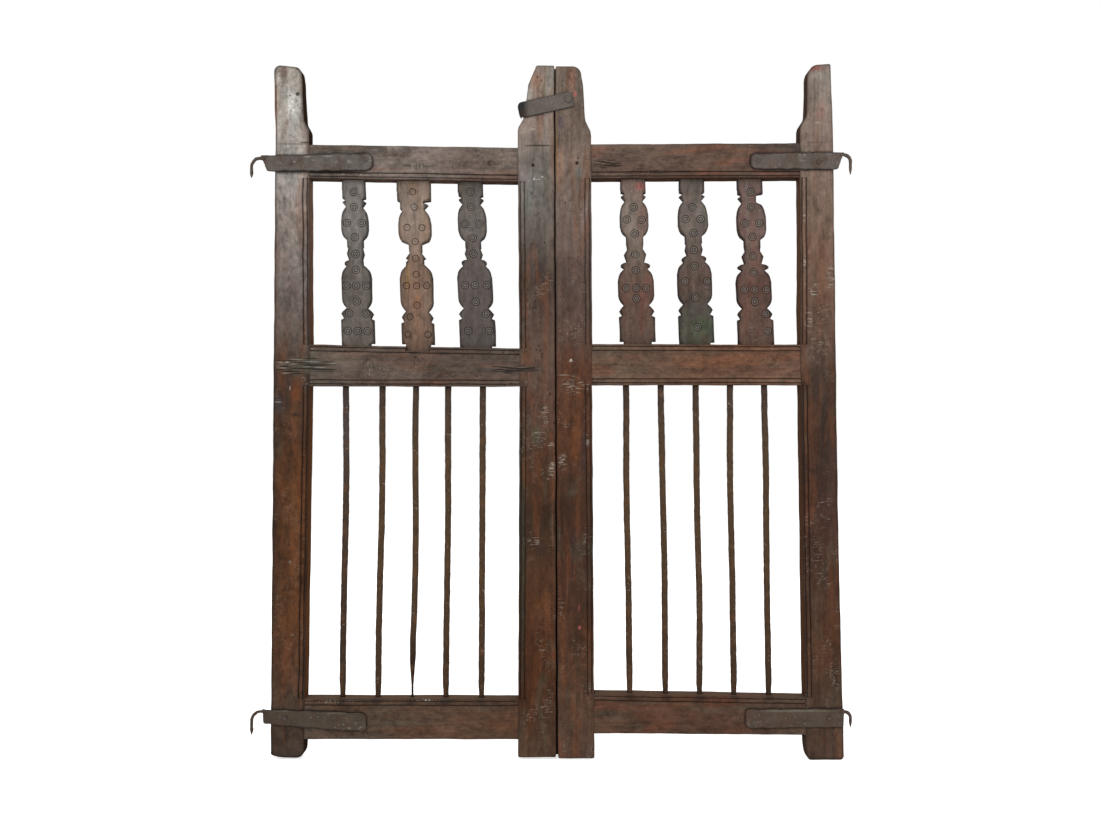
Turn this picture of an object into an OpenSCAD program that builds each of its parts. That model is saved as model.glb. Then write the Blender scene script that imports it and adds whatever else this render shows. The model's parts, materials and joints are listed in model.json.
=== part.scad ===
// Pair of gate leaves in wood and iron: fretted balusters above, round bars below,
// hook hinges on the outer stiles and a turning latch across the meeting stiles.
// Millimetres, +Z up, the front faces -Y, the hinge axes stand at X = -axis_x and X = +axis_x.

/* [Leaves] */
// Distance from the middle of the pair to each hinge axis
axis_x = 598; // [590:1:606]
// Height to the tip of the tallest horn
leaf_h = 1393; // [1385:1:1405]
// Thickness of stiles and rails
wood_t = 45; // [40:1:52]
// Length of the rail tenons
tenon_l = 40; // [36:1:44]
// Thickness of the rail tenons
tenon_t = 15; // [12:1:18]
// Step from the edge of a rail to its tenon
tenon_step = 10; // [6:1:14]
// Radius of the pegs through the upper tenons
peg_r = 3; // [2.5:0.25:4]
// Thickness of the lip on the left meeting stile, behind the gap
lip_t = 20; // [16:1:24]
// How far the lip reaches past the meeting edge
lip_w = 12; // [8:1:14]

/* [Mouldings] */
// Plain strip between an edge and its scratched bead
bead_edge = 3.5; // [2:0.5:5]
// Width of the scratched bead
bead_w = 10; // [7:0.5:12]
// Depth of the grooves beside the bead
bead_depth = 2; // [1:0.25:3]

/* [Balusters] */
// Thickness of the fretted boards
baluster_t = 18; // [14:1:21]
// Setback of the boards from the front of the wood
baluster_back = 16; // [12:1:18]
// Depth of the boards' ends in the rails
baluster_seat = 20; // [14:1:24]
// Radius of the outer carved ring
ring_r = 7.5; // [6.5:0.5:8.5]
// Radius of the inner carved ring
ring_inner_r = 4; // [3:0.5:4.5]
// Radius of the carved dot
dot_r = 1.5; // [1:0.25:2]
// Depth of the carving
ring_cut = 1; // [0.5:0.1:1.5]

/* [Bars] */
// Radius of the round bars
bar_r = 5.4; // [5:0.1:6]
// Radius of the bars where they enter the bottom rail
bar_foot_r = 4.4; // [3.8:0.1:4.8]
// Radius of the one bar that has rusted thin
rust_r = 1.2; // [1:0.1:2]
// Depth of the bar sockets
socket_depth = 22; // [16:1:26]

/* [Ironwork] */
// Thickness of the hinge straps and the latch
strap_t = 4; // [3:0.5:5]
// Radius of the hinge hooks
hook_r = 3.5; // [3:0.25:4]
// Radius of the nail shanks
nail_r = 2.5; // [2:0.25:3]
// Radius of the nail heads
nail_head_r = 4.5; // [4:0.25:6]
// Thickness of the nail heads
nail_head_t = 1.2; // [0.8:0.1:1.6]
// Depth of the nails in the wood
nail_l = 34; // [28:1:38]

/* [Latch] */
// Width of the latch strap
latch_w = 32; // [28:1:34]
// Room between the bent end and the wood it swings past
latch_play = 3; // [2:0.5:8]
// Length of the bent end
latch_tab = 14; // [10:1:20]
// Slope of the latch at rest
latch_tilt = 12.5; // [11.5:0.5:13.5]
// Radius of the rivet shank
rivet_r = 4; // [3:0.25:4.5]
// Radius of the rivet heads
rivet_head_r = 6.5; // [6:0.25:7]
// Thickness of the rivet heads
rivet_head_t = 1.5; // [1:0.25:2]

/* [Clearances] */
// Around tenons and boards in their mortises
joint_gap = 0.2; // [0.1:0.05:0.4]
// Around nails, pegs and bars in their holes
hole_gap = 0.1; // [0.05:0.05:0.2]
// Around the rivet in the latch
running_gap = 0.06; // [0.03:0.01:0.09]
// Between the latch and the wood behind it
slide_gap = 0.3; // [0.2:0.1:0.5]
// Between the lip and the face of the rebate before it
rebate_gap = 2; // [1:0.5:3]
// Beside the lip, for the swing of the leaf
lip_room = 4; // [3:0.5:6]

/* [Hidden] */
$fn = 48;

// Depths: the whole pair is centred on Y = 0
front_reach = max(slide_gap * 2 + strap_t + rivet_head_t, strap_t, 2 * hook_r);
front_y = (front_reach - wood_t - rivet_head_t) / 2;
middle_y = front_y + wood_t / 2;
hook_y = front_y - max(strap_t / 2, hook_r);
board_y = front_y + baluster_back;
latch_y = front_y - slide_gap;
lip_y = front_y + wood_t - lip_t;

wood_colour = [0.33, 0.24, 0.2];
pale_colour = [0.45, 0.4, 0.35];
iron_colour = [0.28, 0.25, 0.23];

// Stiles. Across a stile, u grows from its plain edge to the edge along the openings.
// [origin in X, direction of u, plain edge, opening edge, horn edge, heights, corners]
// The plain edge is given at foot, knee, shoulder and top, the opening edge at foot, waist and
// shoulder, the horn at its root, middle and top.
// Heights are foot, shoulder, rise of the shoulder, middle of the horn, top and fall of the top.
// Corners are [run, rise] of the foot's plain and opening corner, the horn's inner and outer one.
knee_z = 500;
waist_z = 790;
left_hinge = [-axis_x, 1, [37, 41, 47, 44], [104, 116, 114], [104, 100, 98],
  [4, 1257, 24, leaf_h - 33, leaf_h - 3, 4], [[40, 9], [14, 16], [11, 12], [13, 13]]];
left_meeting = [0, -1, [-10, -9, -6, -6], [66, 63, 67], [54, 46, 31],
  [5, 1258, 28, leaf_h - 43, leaf_h - 4, 0], [[4, 4], [4, 4], [5, 5], [2, 2]]];
right_meeting = [0, 1, [14, 12, 9, 9], [87, 82, 80], [68, 64, 61],
  [3, 1249, 35, leaf_h - 43, leaf_h - 5, 0], [[4, 4], [4, 4], [19, 19], [2, 2]]];
right_hinge = [axis_x, -1, [12, 24, 34, 39], [88, 99, 100], [86, 85, 85],
  [0, 1262, 30, leaf_h - 53, leaf_h, 2], [[8, 8], [9, 40], [20, 26], [4, 4]]];

// Rails. [hinge stile, meeting stile, heights at the hinge stile, heights at the meeting stile]
left_top = [left_hinge, left_meeting, [1164, 1231], [1157, 1225]];
left_middle = [left_hinge, left_meeting, [748, 831], [747, 823]];
left_bottom = [left_hinge, left_meeting, [41, 122], [41, 121]];
right_top = [right_hinge, right_meeting, [1165, 1234], [1163, 1232]];
right_middle = [right_hinge, right_meeting, [750, 831], [750, 832]];
right_bottom = [right_hinge, right_meeting, [50, 125], [53, 132]];
left_rails = [left_bottom, left_middle, left_top];
right_rails = [right_bottom, right_middle, right_top];

// Bars. [X at the middle rail, X at the bottom rail]
left_bars = [[-413, -420], [-339, -349], [-272, -280], [-207, -212], [-137, -140]];
right_bars = [[151, 159], [221, 231], [291, 300], [360, 369], [429, 439]];
rusted_bar = 2;

// Balusters. [X at the head and the foot, half widths in the order of fret_parts, shifts in the
// order of fret_zones, lifts of the left and right shoulder, broken points as [side, point,
// share left], carved marks as offsets in head, brow, row, cuff and block]
fret_parts = ["head", "lobe", "neck", "lozenge", "spur", "belly", "block"];
fret_zones = ["upper", "chin", "middle", "brow", "lower"];
left_balusters = [
  [[-398, -388], [23, 27, 16, 17, 22, 30, 33], [0, 0, 0, 0, 0], [0, 5], [[1, "spur", 0.65]],
    [[0], [0], [-20, 0, 20], [-16, 17], [-20, 0, 20]]],
  [[-277, -267], [34, 33, 13, 20, 20, 33, 33], [-5, -9, -9, 0, -7], [5, 5],
    [[-1, "slit", 0.85], [-1, "shoulder", 0.87], [-1, "throat", 0.87], [1, "slit", 0.55],
      [1, "spur", 0.8]],
    [[-2], [0], [-20, 0, 20], [-15], [-20, 20]]],
  [[-163, -147], [25, 29, 16, 18, 25, 35, 36], [5, -2, 0, 1, 0], [0, 4], [],
    [[-1], [], [-20, 0, 24], [20], [-18, 24]]]];
right_balusters = [
  [[165, 175], [25, 29, 17, 22, 29, 36, 36], [11, 7, -1, -5, 6], [6, 6], [],
    [[], [0], [-20, 0, 20], [], []]],
  [[283, 294], [25, 30, 17, 18, 24, 34, 35], [12, 8, 8, 9, 8], [0, 4], [],
    [[], [0], [-20, 24], [], [2]]],
  [[400, 414], [25, 29, 16, 21, 30, 35, 36], [9, 0, -5, -8, 0], [0, 0],
    [[1, "slit", 0.45], [1, "shoulder", 0.38], [1, "throat", 0.38]],
    [[0], [0], [-20, 0, 24], [21], [24]]]];
// The second board is marked with single rings, the others with double ones
single_ring = left_balusters[1];

// Fretted outline from head to foot. [which half width, share of it, height, which shift, and a
// name where a point may be broken]
fret = [
  ["head", 1, 1126, "upper"], ["head", 0.76, 1124, "upper", "slit"],
  ["head", 0.76, 1122, "upper", "slit"], ["lobe", 0.86, 1118, "upper", "shoulder"],
  ["lobe", 0.6, 1109, "upper", "throat"], ["lobe", 0.74, 1104, "upper"],
  ["lobe", 0.86, 1099, "upper"], ["lobe", 0.94, 1092, "upper"], ["lobe", 1, 1080, "upper"],
  ["lobe", 1, 1063, "chin"], ["lobe", 0.93, 1054, "chin"], ["lobe", 0.82, 1048, "chin"],
  ["neck", 1, 1042, "chin"], ["neck", 1, 1028, "chin"], ["neck", 0.9, 1025, "middle"],
  ["lozenge", 1, 1014, "middle"], ["lozenge", 0.78, 1002, "brow"],
  ["spur", 0.85, 1000, "brow", "spur"], ["spur", 1, 997, "brow", "spur"],
  ["spur", 1, 993, "brow", "spur"], ["belly", 0.63, 989, "brow"], ["belly", 0.75, 985, "brow"],
  ["belly", 0.86, 981, "brow"], ["belly", 0.93, 976, "brow"], ["belly", 1, 965, "brow"],
  ["belly", 1, 924, "lower"], ["belly", 0.96, 917, "lower"], ["belly", 0.86, 911, "lower"],
  ["belly", 0.7, 905, "lower"], ["block", 0.88, 898, "lower"], ["block", 0.97, 893, "lower"],
  ["block", 0.82, 884, "lower"], ["block", 1, 881, "lower"]];
fret_head_z = 1164;
fret_foot_z = 828;
// Heights of the carved marks
mark_head = 1139;
mark_collar = 1108;
mark_lobe = 1076;
mark_chin = 1048;
mark_lozenge = 1014;
mark_brow = 982;
mark_row = 950;
mark_base = 918;
mark_cuff = 894;
mark_block = 859;
lobe_spread = 15;
// The board's foot is this much narrower on each side than its block
foot_inset = 8;
// Depth to which the rail's front lip has broken away before the second board
lip_break = 9;

// Hinge straps, measured from the hinge axis towards the leaf's middle.
// [upper and lower outer corner, inner end, heights at the outer end, heights at the inner end,
// radius of the inner corners, bend of the hook, height of the hook's run, leg, tip, nails]
left_upper = [[18, 29], 242, [1176, 1209], [1179, 1213], 15, 16, 1203, 15, 7,
  [[79, 1195], [226, 1200]]];
left_lower = [[21, 23], 229, [72, 102], [57, 94], 11, 20, 98, 17, 9,
  [[66, 84], [208, 75]]];
right_upper = [[13, 23], 199, [1180, 1216], [1181, 1213], 12, 15, 1211, 14, 12,
  [[63, 1195], [184, 1198]]];
right_lower = [[12, 13], 209, [66, 103], [65, 102], 9, 12, 97, 8, 11,
  [[42, 84], [192, 76]]];
// Radius of the straps' lower outer corners
strap_corner = 5;
// How far the hook's run goes into the strap
hook_root = 8;
hook_tip_r = 1.2;

// Pegs at the middle of the upper tenons
left_peg_at = [-36, 1190];
right_peg_at = [52, 1194];
peg_l = 32;

// Latch
rivet_at = [34, 1320];
// The bent end clears the root and the tip of the left meeting stile's horn
horn_root = [left_meeting[0] + left_meeting[1] * left_meeting[4][0],
  left_meeting[5][1] + left_meeting[5][2]];
horn_tip = [left_meeting[0] + left_meeting[1] * left_meeting[4][2], left_meeting[5][4]];
latch_reach = max(norm(rivet_at - horn_root), norm(rivet_at - horn_tip)) + latch_play + strap_t;
latch_end = 9;
latch_bend = 3;
latch_corner = 9;
// Corners of the riveted end, lower and upper
latch_end_r = [4, 9];

// Old tool cuts over the front of rails and stiles. [middle, length, depth, slope]
left_gouges = [[[-496, 788], 72, 2, 0], [[-456, 779], 74, 2, -1.5], [[-68, 780], 96, 2.4, 1.5]];
right_gouges = [[[112, 1198], 48, 1.6, -3], [[118, 1188], 58, 2, 2]];
gouge_r = 3;

// How far cutters start outside the wood
over = 1;
bar_taper = [8, 30];
rust_waist = [6, 24, 80];
nose_drop = 0.3;
// How far the lip's own strip reaches back into its stile
lip_root = 10;

function mix(a, b, t) = a + (b - a) * t;
function arc(c, rx, rz, from, to) =
  [for (i = [0:5]) c + [rx * cos(mix(from, to, i / 5)), rz * sin(mix(from, to, i / 5))]];
// A stile's opening edge at height z; it starts above the rounded foot
function foot_z(st) = st[5][0] + st[6][1][1];
function edge_u(st, z) = z < waist_z
  ? mix(st[3][0], st[3][1], (z - foot_z(st)) / (waist_z - foot_z(st)))
  : mix(st[3][1], st[3][2], (z - waist_z) / (st[5][1] - waist_z));
function edge_x(st, z) = st[0] + st[1] * edge_u(st, z);
function edge_at(st, z) = [edge_x(st, z), z];
// Height of a rail's lower (k = 0) or upper (k = 1) edge at x
function rail_z(rail, x, k) =
  let (a = edge_x(rail[0], rail[2][k]), b = edge_x(rail[1], rail[3][k]))
  mix(rail[2][k], rail[3][k], (x - a) / (b - a));
// The bend of a stile's opening edge, where it lies in a rail's heights there
function bend_at(st, span) = waist_z > span[0] && waist_z < span[1] ? [edge_at(st, waist_z)] : [];
// Heights of a rail at one of its two stiles
function span_at(rail, st) = st == rail[0] ? rail[2] : rail[3];
// X of a baluster's middle line at height z
function board_x(b, z) =
  mix(b[0][1], b[0][0], (z - fret_foot_z) / (fret_head_z - fret_foot_z));
function named(names, values, name) =
  [for (i = [0:len(names) - 1]) if (names[i] == name) values[i]][0];
function half_w(b, part) = named(fret_parts, b[1], part);
function shift(b, zone) = named(fret_zones, b[2], zone);
function fret_share(b, side, row) =
  let (hit = [for (c = b[4]) if (c[0] == side && c[1] == row[4]) c[2]])
  len(hit) > 0 ? hit[0] : row[1];
function fret_side(b, side) = [for (row = fret)
  let (z = row[2] + shift(b, row[3]))
  [board_x(b, z) + side * half_w(b, row[0]) * fret_share(b, side, row), z]];
function flipped(list) = [for (i = [len(list) - 1:-1:0]) list[i]];

// Lifts an outline in X and Z to a slab from depth y to y + t
module slab(y, t) {
  translate([0, y + t, 0])
    rotate([90, 0, 0])
      linear_extrude(height = t)
        children();
}

// Cylinder along Y, from depth y for length l
module dowel(at, y, r, l) {
  translate([at[0], y, at[1]])
    rotate([-90, 0, 0])
      cylinder(r = r, h = l);
}

// Scratched bead along the line p to q, with the wood on the left of the line
module bead(p, q) {
  run = q - p;
  nose_r = bead_w * 0.62;
  translate([p[0], front_y, p[1]])
    rotate([0, -atan2(run[1], run[0]), 0])
      rotate([90, 0, 90])
        linear_extrude(height = norm(run))
          difference() {
            translate([-over, bead_edge])
              square([bead_depth + over, bead_w]);
            translate([nose_r + nose_drop, bead_edge + bead_w / 2])
              circle(r = nose_r);
          }
}

module stile_outline(st) {
  plain = st[2];
  open = st[3];
  horn = st[4];
  z = st[5];
  c = st[6];
  step = open[2] - horn[0];
  inner_top = z[4] - z[5];
  points = concat(
    arc([plain[0] + c[0][0], z[0] + c[0][1]], c[0][0], c[0][1], 180, 270),
    arc([open[0] - c[1][0], z[0] + c[1][1]], c[1][0], c[1][1], 270, 360),
    [[open[1], waist_z]],
    [[open[2], z[1]], [open[2] - step * 0.12, z[1] + z[2] * 0.25],
      [horn[0] + step * 0.12, z[1] + z[2] * 0.8], [horn[0], z[1] + z[2]], [horn[1], z[3]]],
    arc([horn[2] - c[2][0], inner_top - c[2][1]], c[2][0], c[2][1], 0, 85),
    arc([plain[3] + c[3][0], z[4] - c[3][1]], c[3][0], c[3][1], 95, 180),
    [[plain[2], z[1]], [plain[1], knee_z]]);
  translate([st[0], 0])
    polygon([for (p = points) [st[1] * p[0], p[1]]]);
}

// Strip along the meeting edge of the left leaf, from behind it to reach before it; the ends run
// past the stile by more
module lip_strip(behind, reach, more) {
  st = left_meeting;
  z = st[5];
  heights = [z[0] - more, knee_z, z[1], z[4] + more];
  edge = [for (i = [0:3]) [st[0] + st[1] * st[2][i], heights[i]]];
  polygon(concat([for (p = edge) p + [reach, 0]], flipped([for (p = edge) p - [behind, 0]])));
}

// Shallow groove that fades out at both ends
module gouge(g) {
  sweep = pow(g[1] / 2, 2) / (2 * g[2]) + g[2] / 2;
  translate([g[0][0], front_y + g[2] - sweep, g[0][1]])
    rotate([0, -g[3], 0])
      rotate_extrude()
        translate([sweep - gouge_r, 0])
          circle(r = gouge_r);
}

module gouges(list) {
  for (g = list)
    gouge(g);
}

// Tenon of a rail at one of its stiles; gap widens it to a mortise
module tenon(st, span, gap) {
  low = span[0] + tenon_step - gap;
  high = span[1] - tenon_step + gap;
  into = [-st[1] * (tenon_l + gap), 0];
  back = [st[1] * (gap > 0 ? over : tenon_step), 0];
  slab(middle_y - tenon_t / 2 - gap, tenon_t + 2 * gap)
    polygon([edge_at(st, low) + back, edge_at(st, low) + into,
      edge_at(st, high) + into, edge_at(st, high) + back]);
}

module stile(st, rails) {
  spans = [for (rail = rails) span_at(rail, st)];
  difference() {
    slab(front_y, wood_t)
      stile_outline(st);
    for (span = spans)
      tenon(st, span, joint_gap);
    for (way = [[spans[0][1], spans[1][0]], [spans[1][1], spans[2][0]]]) {
      if (st[1] > 0)
        bead(edge_at(st, way[0]), edge_at(st, way[1]));
      else
        bead(edge_at(st, way[1]), edge_at(st, way[0]));
    }
  }
}

// Rail with its tenons, beads on the named edges
module rail(rl, beads) {
  hinge = rl[0];
  meeting = rl[1];
  corners = [edge_at(hinge, rl[2][0]), edge_at(meeting, rl[3][0]),
    edge_at(meeting, rl[3][1]), edge_at(hinge, rl[2][1])];
  outline = concat([corners[0], corners[1]], bend_at(meeting, rl[3]), [corners[2], corners[3]],
    bend_at(hinge, rl[2]));
  left = hinge[1] > 0;
  difference() {
    union() {
      slab(front_y, wood_t)
        polygon(outline);
      tenon(hinge, rl[2], 0);
      tenon(meeting, rl[3], 0);
    }
    for (k = beads) {
      a = corners[k == 0 ? (left ? 0 : 1) : (left ? 2 : 3)];
      b = corners[k == 0 ? (left ? 1 : 0) : (left ? 3 : 2)];
      bead(a, b);
    }
  }
}

// Places a bar's own length upright between the rails
module along_bar(bar, rails) {
  foot = [bar[1], rail_z(rails[0], bar[1], 1) - socket_depth];
  head = [bar[0], rail_z(rails[1], bar[0], 0) + socket_depth];
  translate([foot[0], middle_y, foot[1]])
    rotate([0, atan2(head[0] - foot[0], head[1] - foot[1]), 0])
      children();
}

function bar_l(bar, rails) = norm([bar[0] - bar[1],
  rail_z(rails[1], bar[0], 0) - rail_z(rails[0], bar[1], 1) + 2 * socket_depth]);

module bar(bar, rails, rusted) {
  l = bar_l(bar, rails);
  s = socket_depth;
  waist = rusted
    ? [[bar_foot_r, s - 2], [rust_r, s + rust_waist[0]], [rust_r, s + rust_waist[1]],
      [bar_r, s + rust_waist[2]]]
    : [[bar_foot_r, s + bar_taper[0]], [bar_r, s + bar_taper[1]]];
  color(iron_colour)
    along_bar(bar, rails)
      rotate_extrude()
        polygon(concat([[0, 0], [bar_foot_r, 0]], waist, [[bar_r, l], [0, l]]));
}

module bar_sockets(bars, rails) {
  for (b = bars)
    along_bar(b, rails) {
      cylinder(r = bar_foot_r + hole_gap, h = socket_depth * 2);
      translate([0, 0, bar_l(b, rails) - 2 * socket_depth])
        cylinder(r = bar_r + hole_gap, h = 2 * socket_depth + over);
    }
}

// Ends of a baluster in the rails; gap widens them to mortises
module board_ends(b, rails, gap) {
  head_x = board_x(b, fret_head_z);
  head_z = rail_z(rails[2], head_x, 0);
  foot_x = board_x(b, fret_foot_z);
  foot_z = rail_z(rails[1], foot_x, 1);
  head_w = half_w(b, "head") + gap;
  foot_w = half_w(b, "block") - foot_inset + gap;
  slab(board_y - gap, baluster_t + 2 * gap) {
    translate([head_x - head_w, head_z - baluster_seat])
      square([2 * head_w, 2 * baluster_seat + gap]);
    translate([foot_x - foot_w, foot_z - baluster_seat - gap])
      square([2 * foot_w, 2 * baluster_seat]);
  }
}

module ring_and_dot(rings) {
  rotate([90, 0, 0]) {
    for (r = rings)
      rotate_extrude()
        polygon([[r - ring_cut, ring_cut / 4], [r + ring_cut, ring_cut / 4], [r, -ring_cut]]);
    translate([0, 0, -ring_cut])
      cylinder(r = dot_r, h = ring_cut + over);
  }
}

module marks(b) {
  rings = b == single_ring ? [ring_r * 0.85] : [ring_inner_r, ring_r];
  sets = b[5];
  chin = shift(b, "chin");
  mid = shift(b, "middle");
  brow = shift(b, "brow");
  low = shift(b, "lower");
  places = concat(
    [for (x = sets[0]) [x, mark_head]],
    [[0, mark_collar], [-lobe_spread, mark_lobe + chin], [lobe_spread, mark_lobe + chin],
      [0, mark_chin + chin], [0, mark_lozenge + mid], [0, mark_base + low]],
    [for (x = sets[1]) [x, mark_brow + mid]],
    [for (x = sets[2]) [x, mark_row + brow]],
    [for (x = sets[3]) [x, mark_cuff + low]],
    [for (x = sets[4]) [x, mark_block + low]]);
  for (p = places)
    translate([board_x(b, p[1]) + p[0], board_y, p[1]])
      ring_and_dot(rings);
}

module baluster(b, rails) {
  foot_x = board_x(b, fret_foot_z);
  head_x = board_x(b, fret_head_z);
  head_z = rail_z(rails[2], head_x, 0);
  head_w = half_w(b, "head");
  left_x = foot_x - half_w(b, "block");
  right_x = foot_x + half_w(b, "block");
  left_z = rail_z(rails[1], left_x, 1) + b[3][0];
  right_z = rail_z(rails[1], right_x, 1) + b[3][1];
  outline = concat(
    [[head_x + head_w, head_z]],
    fret_side(b, 1),
    [[right_x, right_z], [foot_x, right_z], [foot_x, left_z], [left_x, left_z]],
    flipped(fret_side(b, -1)),
    [[head_x - head_w, head_z]]);
  color(wood_colour)
    difference() {
      union() {
        slab(board_y, baluster_t)
          polygon(outline);
        board_ends(b, rails, 0);
      }
      marks(b);
    }
}

module strap(st, origin, dir) {
  out = st[0];
  inner = st[1];
  at_out = st[2];
  at_in = st[3];
  r = st[4];
  bend = st[5];
  run_z = st[6];
  color(iron_colour)
    translate([origin, 0, 0])
      mirror([dir > 0 ? 0 : 1, 0, 0])
        difference() {
          union() {
            slab(front_y - strap_t, strap_t) {
              polygon(concat(
                arc([out[1] + strap_corner, at_out[0] + strap_corner], strap_corner, strap_corner,
                  180, 270),
                [[inner - r, at_in[0]], [inner - r, at_in[1]], [out[0], at_out[1]]]));
              translate([inner - r, at_in[0] + r])
                square([r, at_in[1] - at_in[0] - 2 * r]);
              for (z = [at_in[0] + r, at_in[1] - r])
                translate([inner - r, z])
                  circle(r = r);
            }
            translate([bend, hook_y, run_z])
              rotate([0, 90, 0])
                cylinder(r = hook_r, h = out[0] + hook_root - bend);
            translate([bend, hook_y, run_z - bend])
              rotate([90, 0, 0])
                rotate_extrude(angle = 90, start = 90)
                  translate([bend, 0])
                    circle(r = hook_r);
            translate([0, hook_y, run_z - bend - st[7]])
              cylinder(r = hook_r, h = st[7]);
            translate([0, hook_y, run_z - bend - st[7] - st[8]])
              cylinder(r1 = hook_tip_r, r2 = hook_r, h = st[8]);
          }
          for (n = st[9])
            dowel(n, front_y - strap_t - over, nail_r + hole_gap, strap_t + 2 * over);
        }
}

function nail_places(straps, origin, dir) =
  [for (st = straps) for (n = st[9]) [origin + dir * n[0], n[1]]];
left_nail_places = nail_places([left_upper, left_lower], -axis_x, 1);
right_nail_places = nail_places([right_upper, right_lower], axis_x, -1);

module nails(places) {
  color(iron_colour)
    for (n = places) {
      dowel(n, front_y - strap_t - nail_head_t, nail_head_r, nail_head_t);
      dowel(n, front_y - strap_t, nail_r, strap_t + nail_l);
    }
}

module nail_holes(places) {
  for (n = places)
    dowel(n, front_y - over, nail_r + hole_gap, nail_l + over);
}

module peg(at) {
  color(pale_colour)
    dowel(at, front_y, peg_r, peg_l);
}

module peg_hole(at) {
  dowel(at, front_y - over, peg_r + hole_gap, peg_l + over);
}

module left_hinge_stile() {
  color(wood_colour)
    difference() {
      stile(left_hinge, left_rails);
      nail_holes(left_nail_places);
      gouges(left_gouges);
    }
}

module left_meeting_stile() {
  color(wood_colour)
    difference() {
      union() {
        stile(left_meeting, left_rails);
        slab(lip_y, lip_t)
          lip_strip(lip_root, lip_w, 0);
      }
      peg_hole(left_peg_at);
      gouges(left_gouges);
    }
}

module right_hinge_stile() {
  color(wood_colour)
    difference() {
      stile(right_hinge, right_rails);
      nail_holes(right_nail_places);
    }
}

module right_meeting_stile() {
  color(wood_colour)
    difference() {
      stile(right_meeting, right_rails);
      peg_hole(right_peg_at);
      dowel(rivet_at, front_y - over, rivet_r + hole_gap, wood_t + 2 * over);
      slab(lip_y - rebate_gap, lip_t + rebate_gap + over)
        lip_strip(0, lip_w + lip_room, wood_t);
      gouges(right_gouges);
    }
}

module top_rail(rails, boards, places, peg_at, cuts) {
  color(wood_colour)
    difference() {
      rail(rails[2], [0]);
      for (b = boards)
        board_ends(b, rails, joint_gap);
      nail_holes(places);
      peg_hole(peg_at);
      gouges(cuts);
    }
}

module middle_rail(rails, boards, bars) {
  color(wood_colour)
    difference() {
      rail(rails[1], [0, 1]);
      for (b = boards)
        board_ends(b, rails, joint_gap);
      bar_sockets(bars, rails);
    }
}

module bottom_rail(rails, bars, places) {
  color(wood_colour)
    difference() {
      rail(rails[0], [1]);
      bar_sockets(bars, rails);
      nail_holes(places);
    }
}

// The front lip of the left middle rail is gone before the second board's foot
module broken_lip() {
  b = left_balusters[1];
  x = board_x(b, fret_foot_z);
  w = half_w(b, "block") - foot_inset + joint_gap;
  slab(front_y - over, baluster_back + over + joint_gap)
    translate([x - w, rail_z(left_middle, x, 1) - lip_break])
      square([2 * w, 2 * lip_break]);
}

module left_middle_rail() {
  color(wood_colour)
    difference() {
      middle_rail(left_rails, left_balusters, left_bars);
      broken_lip();
      gouges(left_gouges);
    }
}

module latch_strap() {
  bend_r = latch_bend + strap_t;
  half = latch_w / 2;
  c = latch_corner;
  e = latch_end_r;
  hinge = [rivet_at[0], latch_y, rivet_at[1]];
  color(iron_colour)
    translate(hinge)
      rotate([0, -latch_tilt, 0])
        difference() {
          intersection() {
            translate([bend_r - latch_reach, latch_bend, -latch_w / 2])
              linear_extrude(height = latch_w) {
                translate([0, -bend_r])
                  square([latch_reach - bend_r + latch_end, strap_t]);
                translate([-bend_r, 0])
                  square([strap_t, latch_tab]);
                intersection() {
                  difference() {
                    circle(r = bend_r);
                    circle(r = latch_bend);
                  }
                  translate([-bend_r, -bend_r])
                    square(bend_r);
                }
              }
            slab(-2 * strap_t, latch_tab + 4 * strap_t)
              polygon(concat(
                arc([c - latch_reach, c - half], c, c, 180, 270),
                arc([latch_end - e[0], e[0] - half], e[0], e[0], 270, 360),
                arc([latch_end - e[1], half - e[1]], e[1], e[1], 0, 90),
                arc([c - latch_reach, half - c], c, c, 90, 180)));
          }
          dowel([0, 0], -strap_t - over, rivet_r + running_gap, strap_t + 2 * over);
        }
}

module latch_rivet() {
  head_y = latch_y - strap_t - slide_gap - rivet_head_t;
  color(iron_colour) {
    dowel(rivet_at, head_y, rivet_head_r, rivet_head_t);
    dowel(rivet_at, head_y, rivet_r, front_y + wood_t + rivet_head_t - head_y);
    dowel(rivet_at, front_y + wood_t, rivet_head_r, rivet_head_t);
  }
}

left_hinge_stile();
left_meeting_stile();
top_rail(left_rails, left_balusters, left_nail_places, left_peg_at, []);  // left_top_rail
left_middle_rail();
bottom_rail(left_rails, left_bars, left_nail_places);  // left_bottom_rail
baluster(left_balusters[0], left_rails);  // left_baluster_1
baluster(left_balusters[1], left_rails);  // left_baluster_2
baluster(left_balusters[2], left_rails);  // left_baluster_3
bar(left_bars[0], left_rails, false);  // left_bar_1
bar(left_bars[1], left_rails, false);  // left_bar_2
bar(left_bars[rusted_bar], left_rails, true);  // left_bar_3
bar(left_bars[3], left_rails, false);  // left_bar_4
bar(left_bars[4], left_rails, false);  // left_bar_5
strap(left_upper, -axis_x, 1);  // left_upper_strap
strap(left_lower, -axis_x, 1);  // left_lower_strap
nails(left_nail_places);  // left_nails
peg(left_peg_at);  // left_peg
right_meeting_stile();
right_hinge_stile();
top_rail(right_rails, right_balusters, right_nail_places, right_peg_at, right_gouges);  // right_top_rail
middle_rail(right_rails, right_balusters, right_bars);  // right_middle_rail
bottom_rail(right_rails, right_bars, right_nail_places);  // right_bottom_rail
baluster(right_balusters[0], right_rails);  // right_baluster_1
baluster(right_balusters[1], right_rails);  // right_baluster_2
baluster(right_balusters[2], right_rails);  // right_baluster_3
bar(right_bars[0], right_rails, false);  // right_bar_1
bar(right_bars[1], right_rails, false);  // right_bar_2
bar(right_bars[2], right_rails, false);  // right_bar_3
bar(right_bars[3], right_rails, false);  // right_bar_4
bar(right_bars[4], right_rails, false);  // right_bar_5
strap(right_upper, axis_x, -1);  // right_upper_strap
strap(right_lower, axis_x, -1);  // right_lower_strap
nails(right_nail_places);  // right_nails
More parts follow.
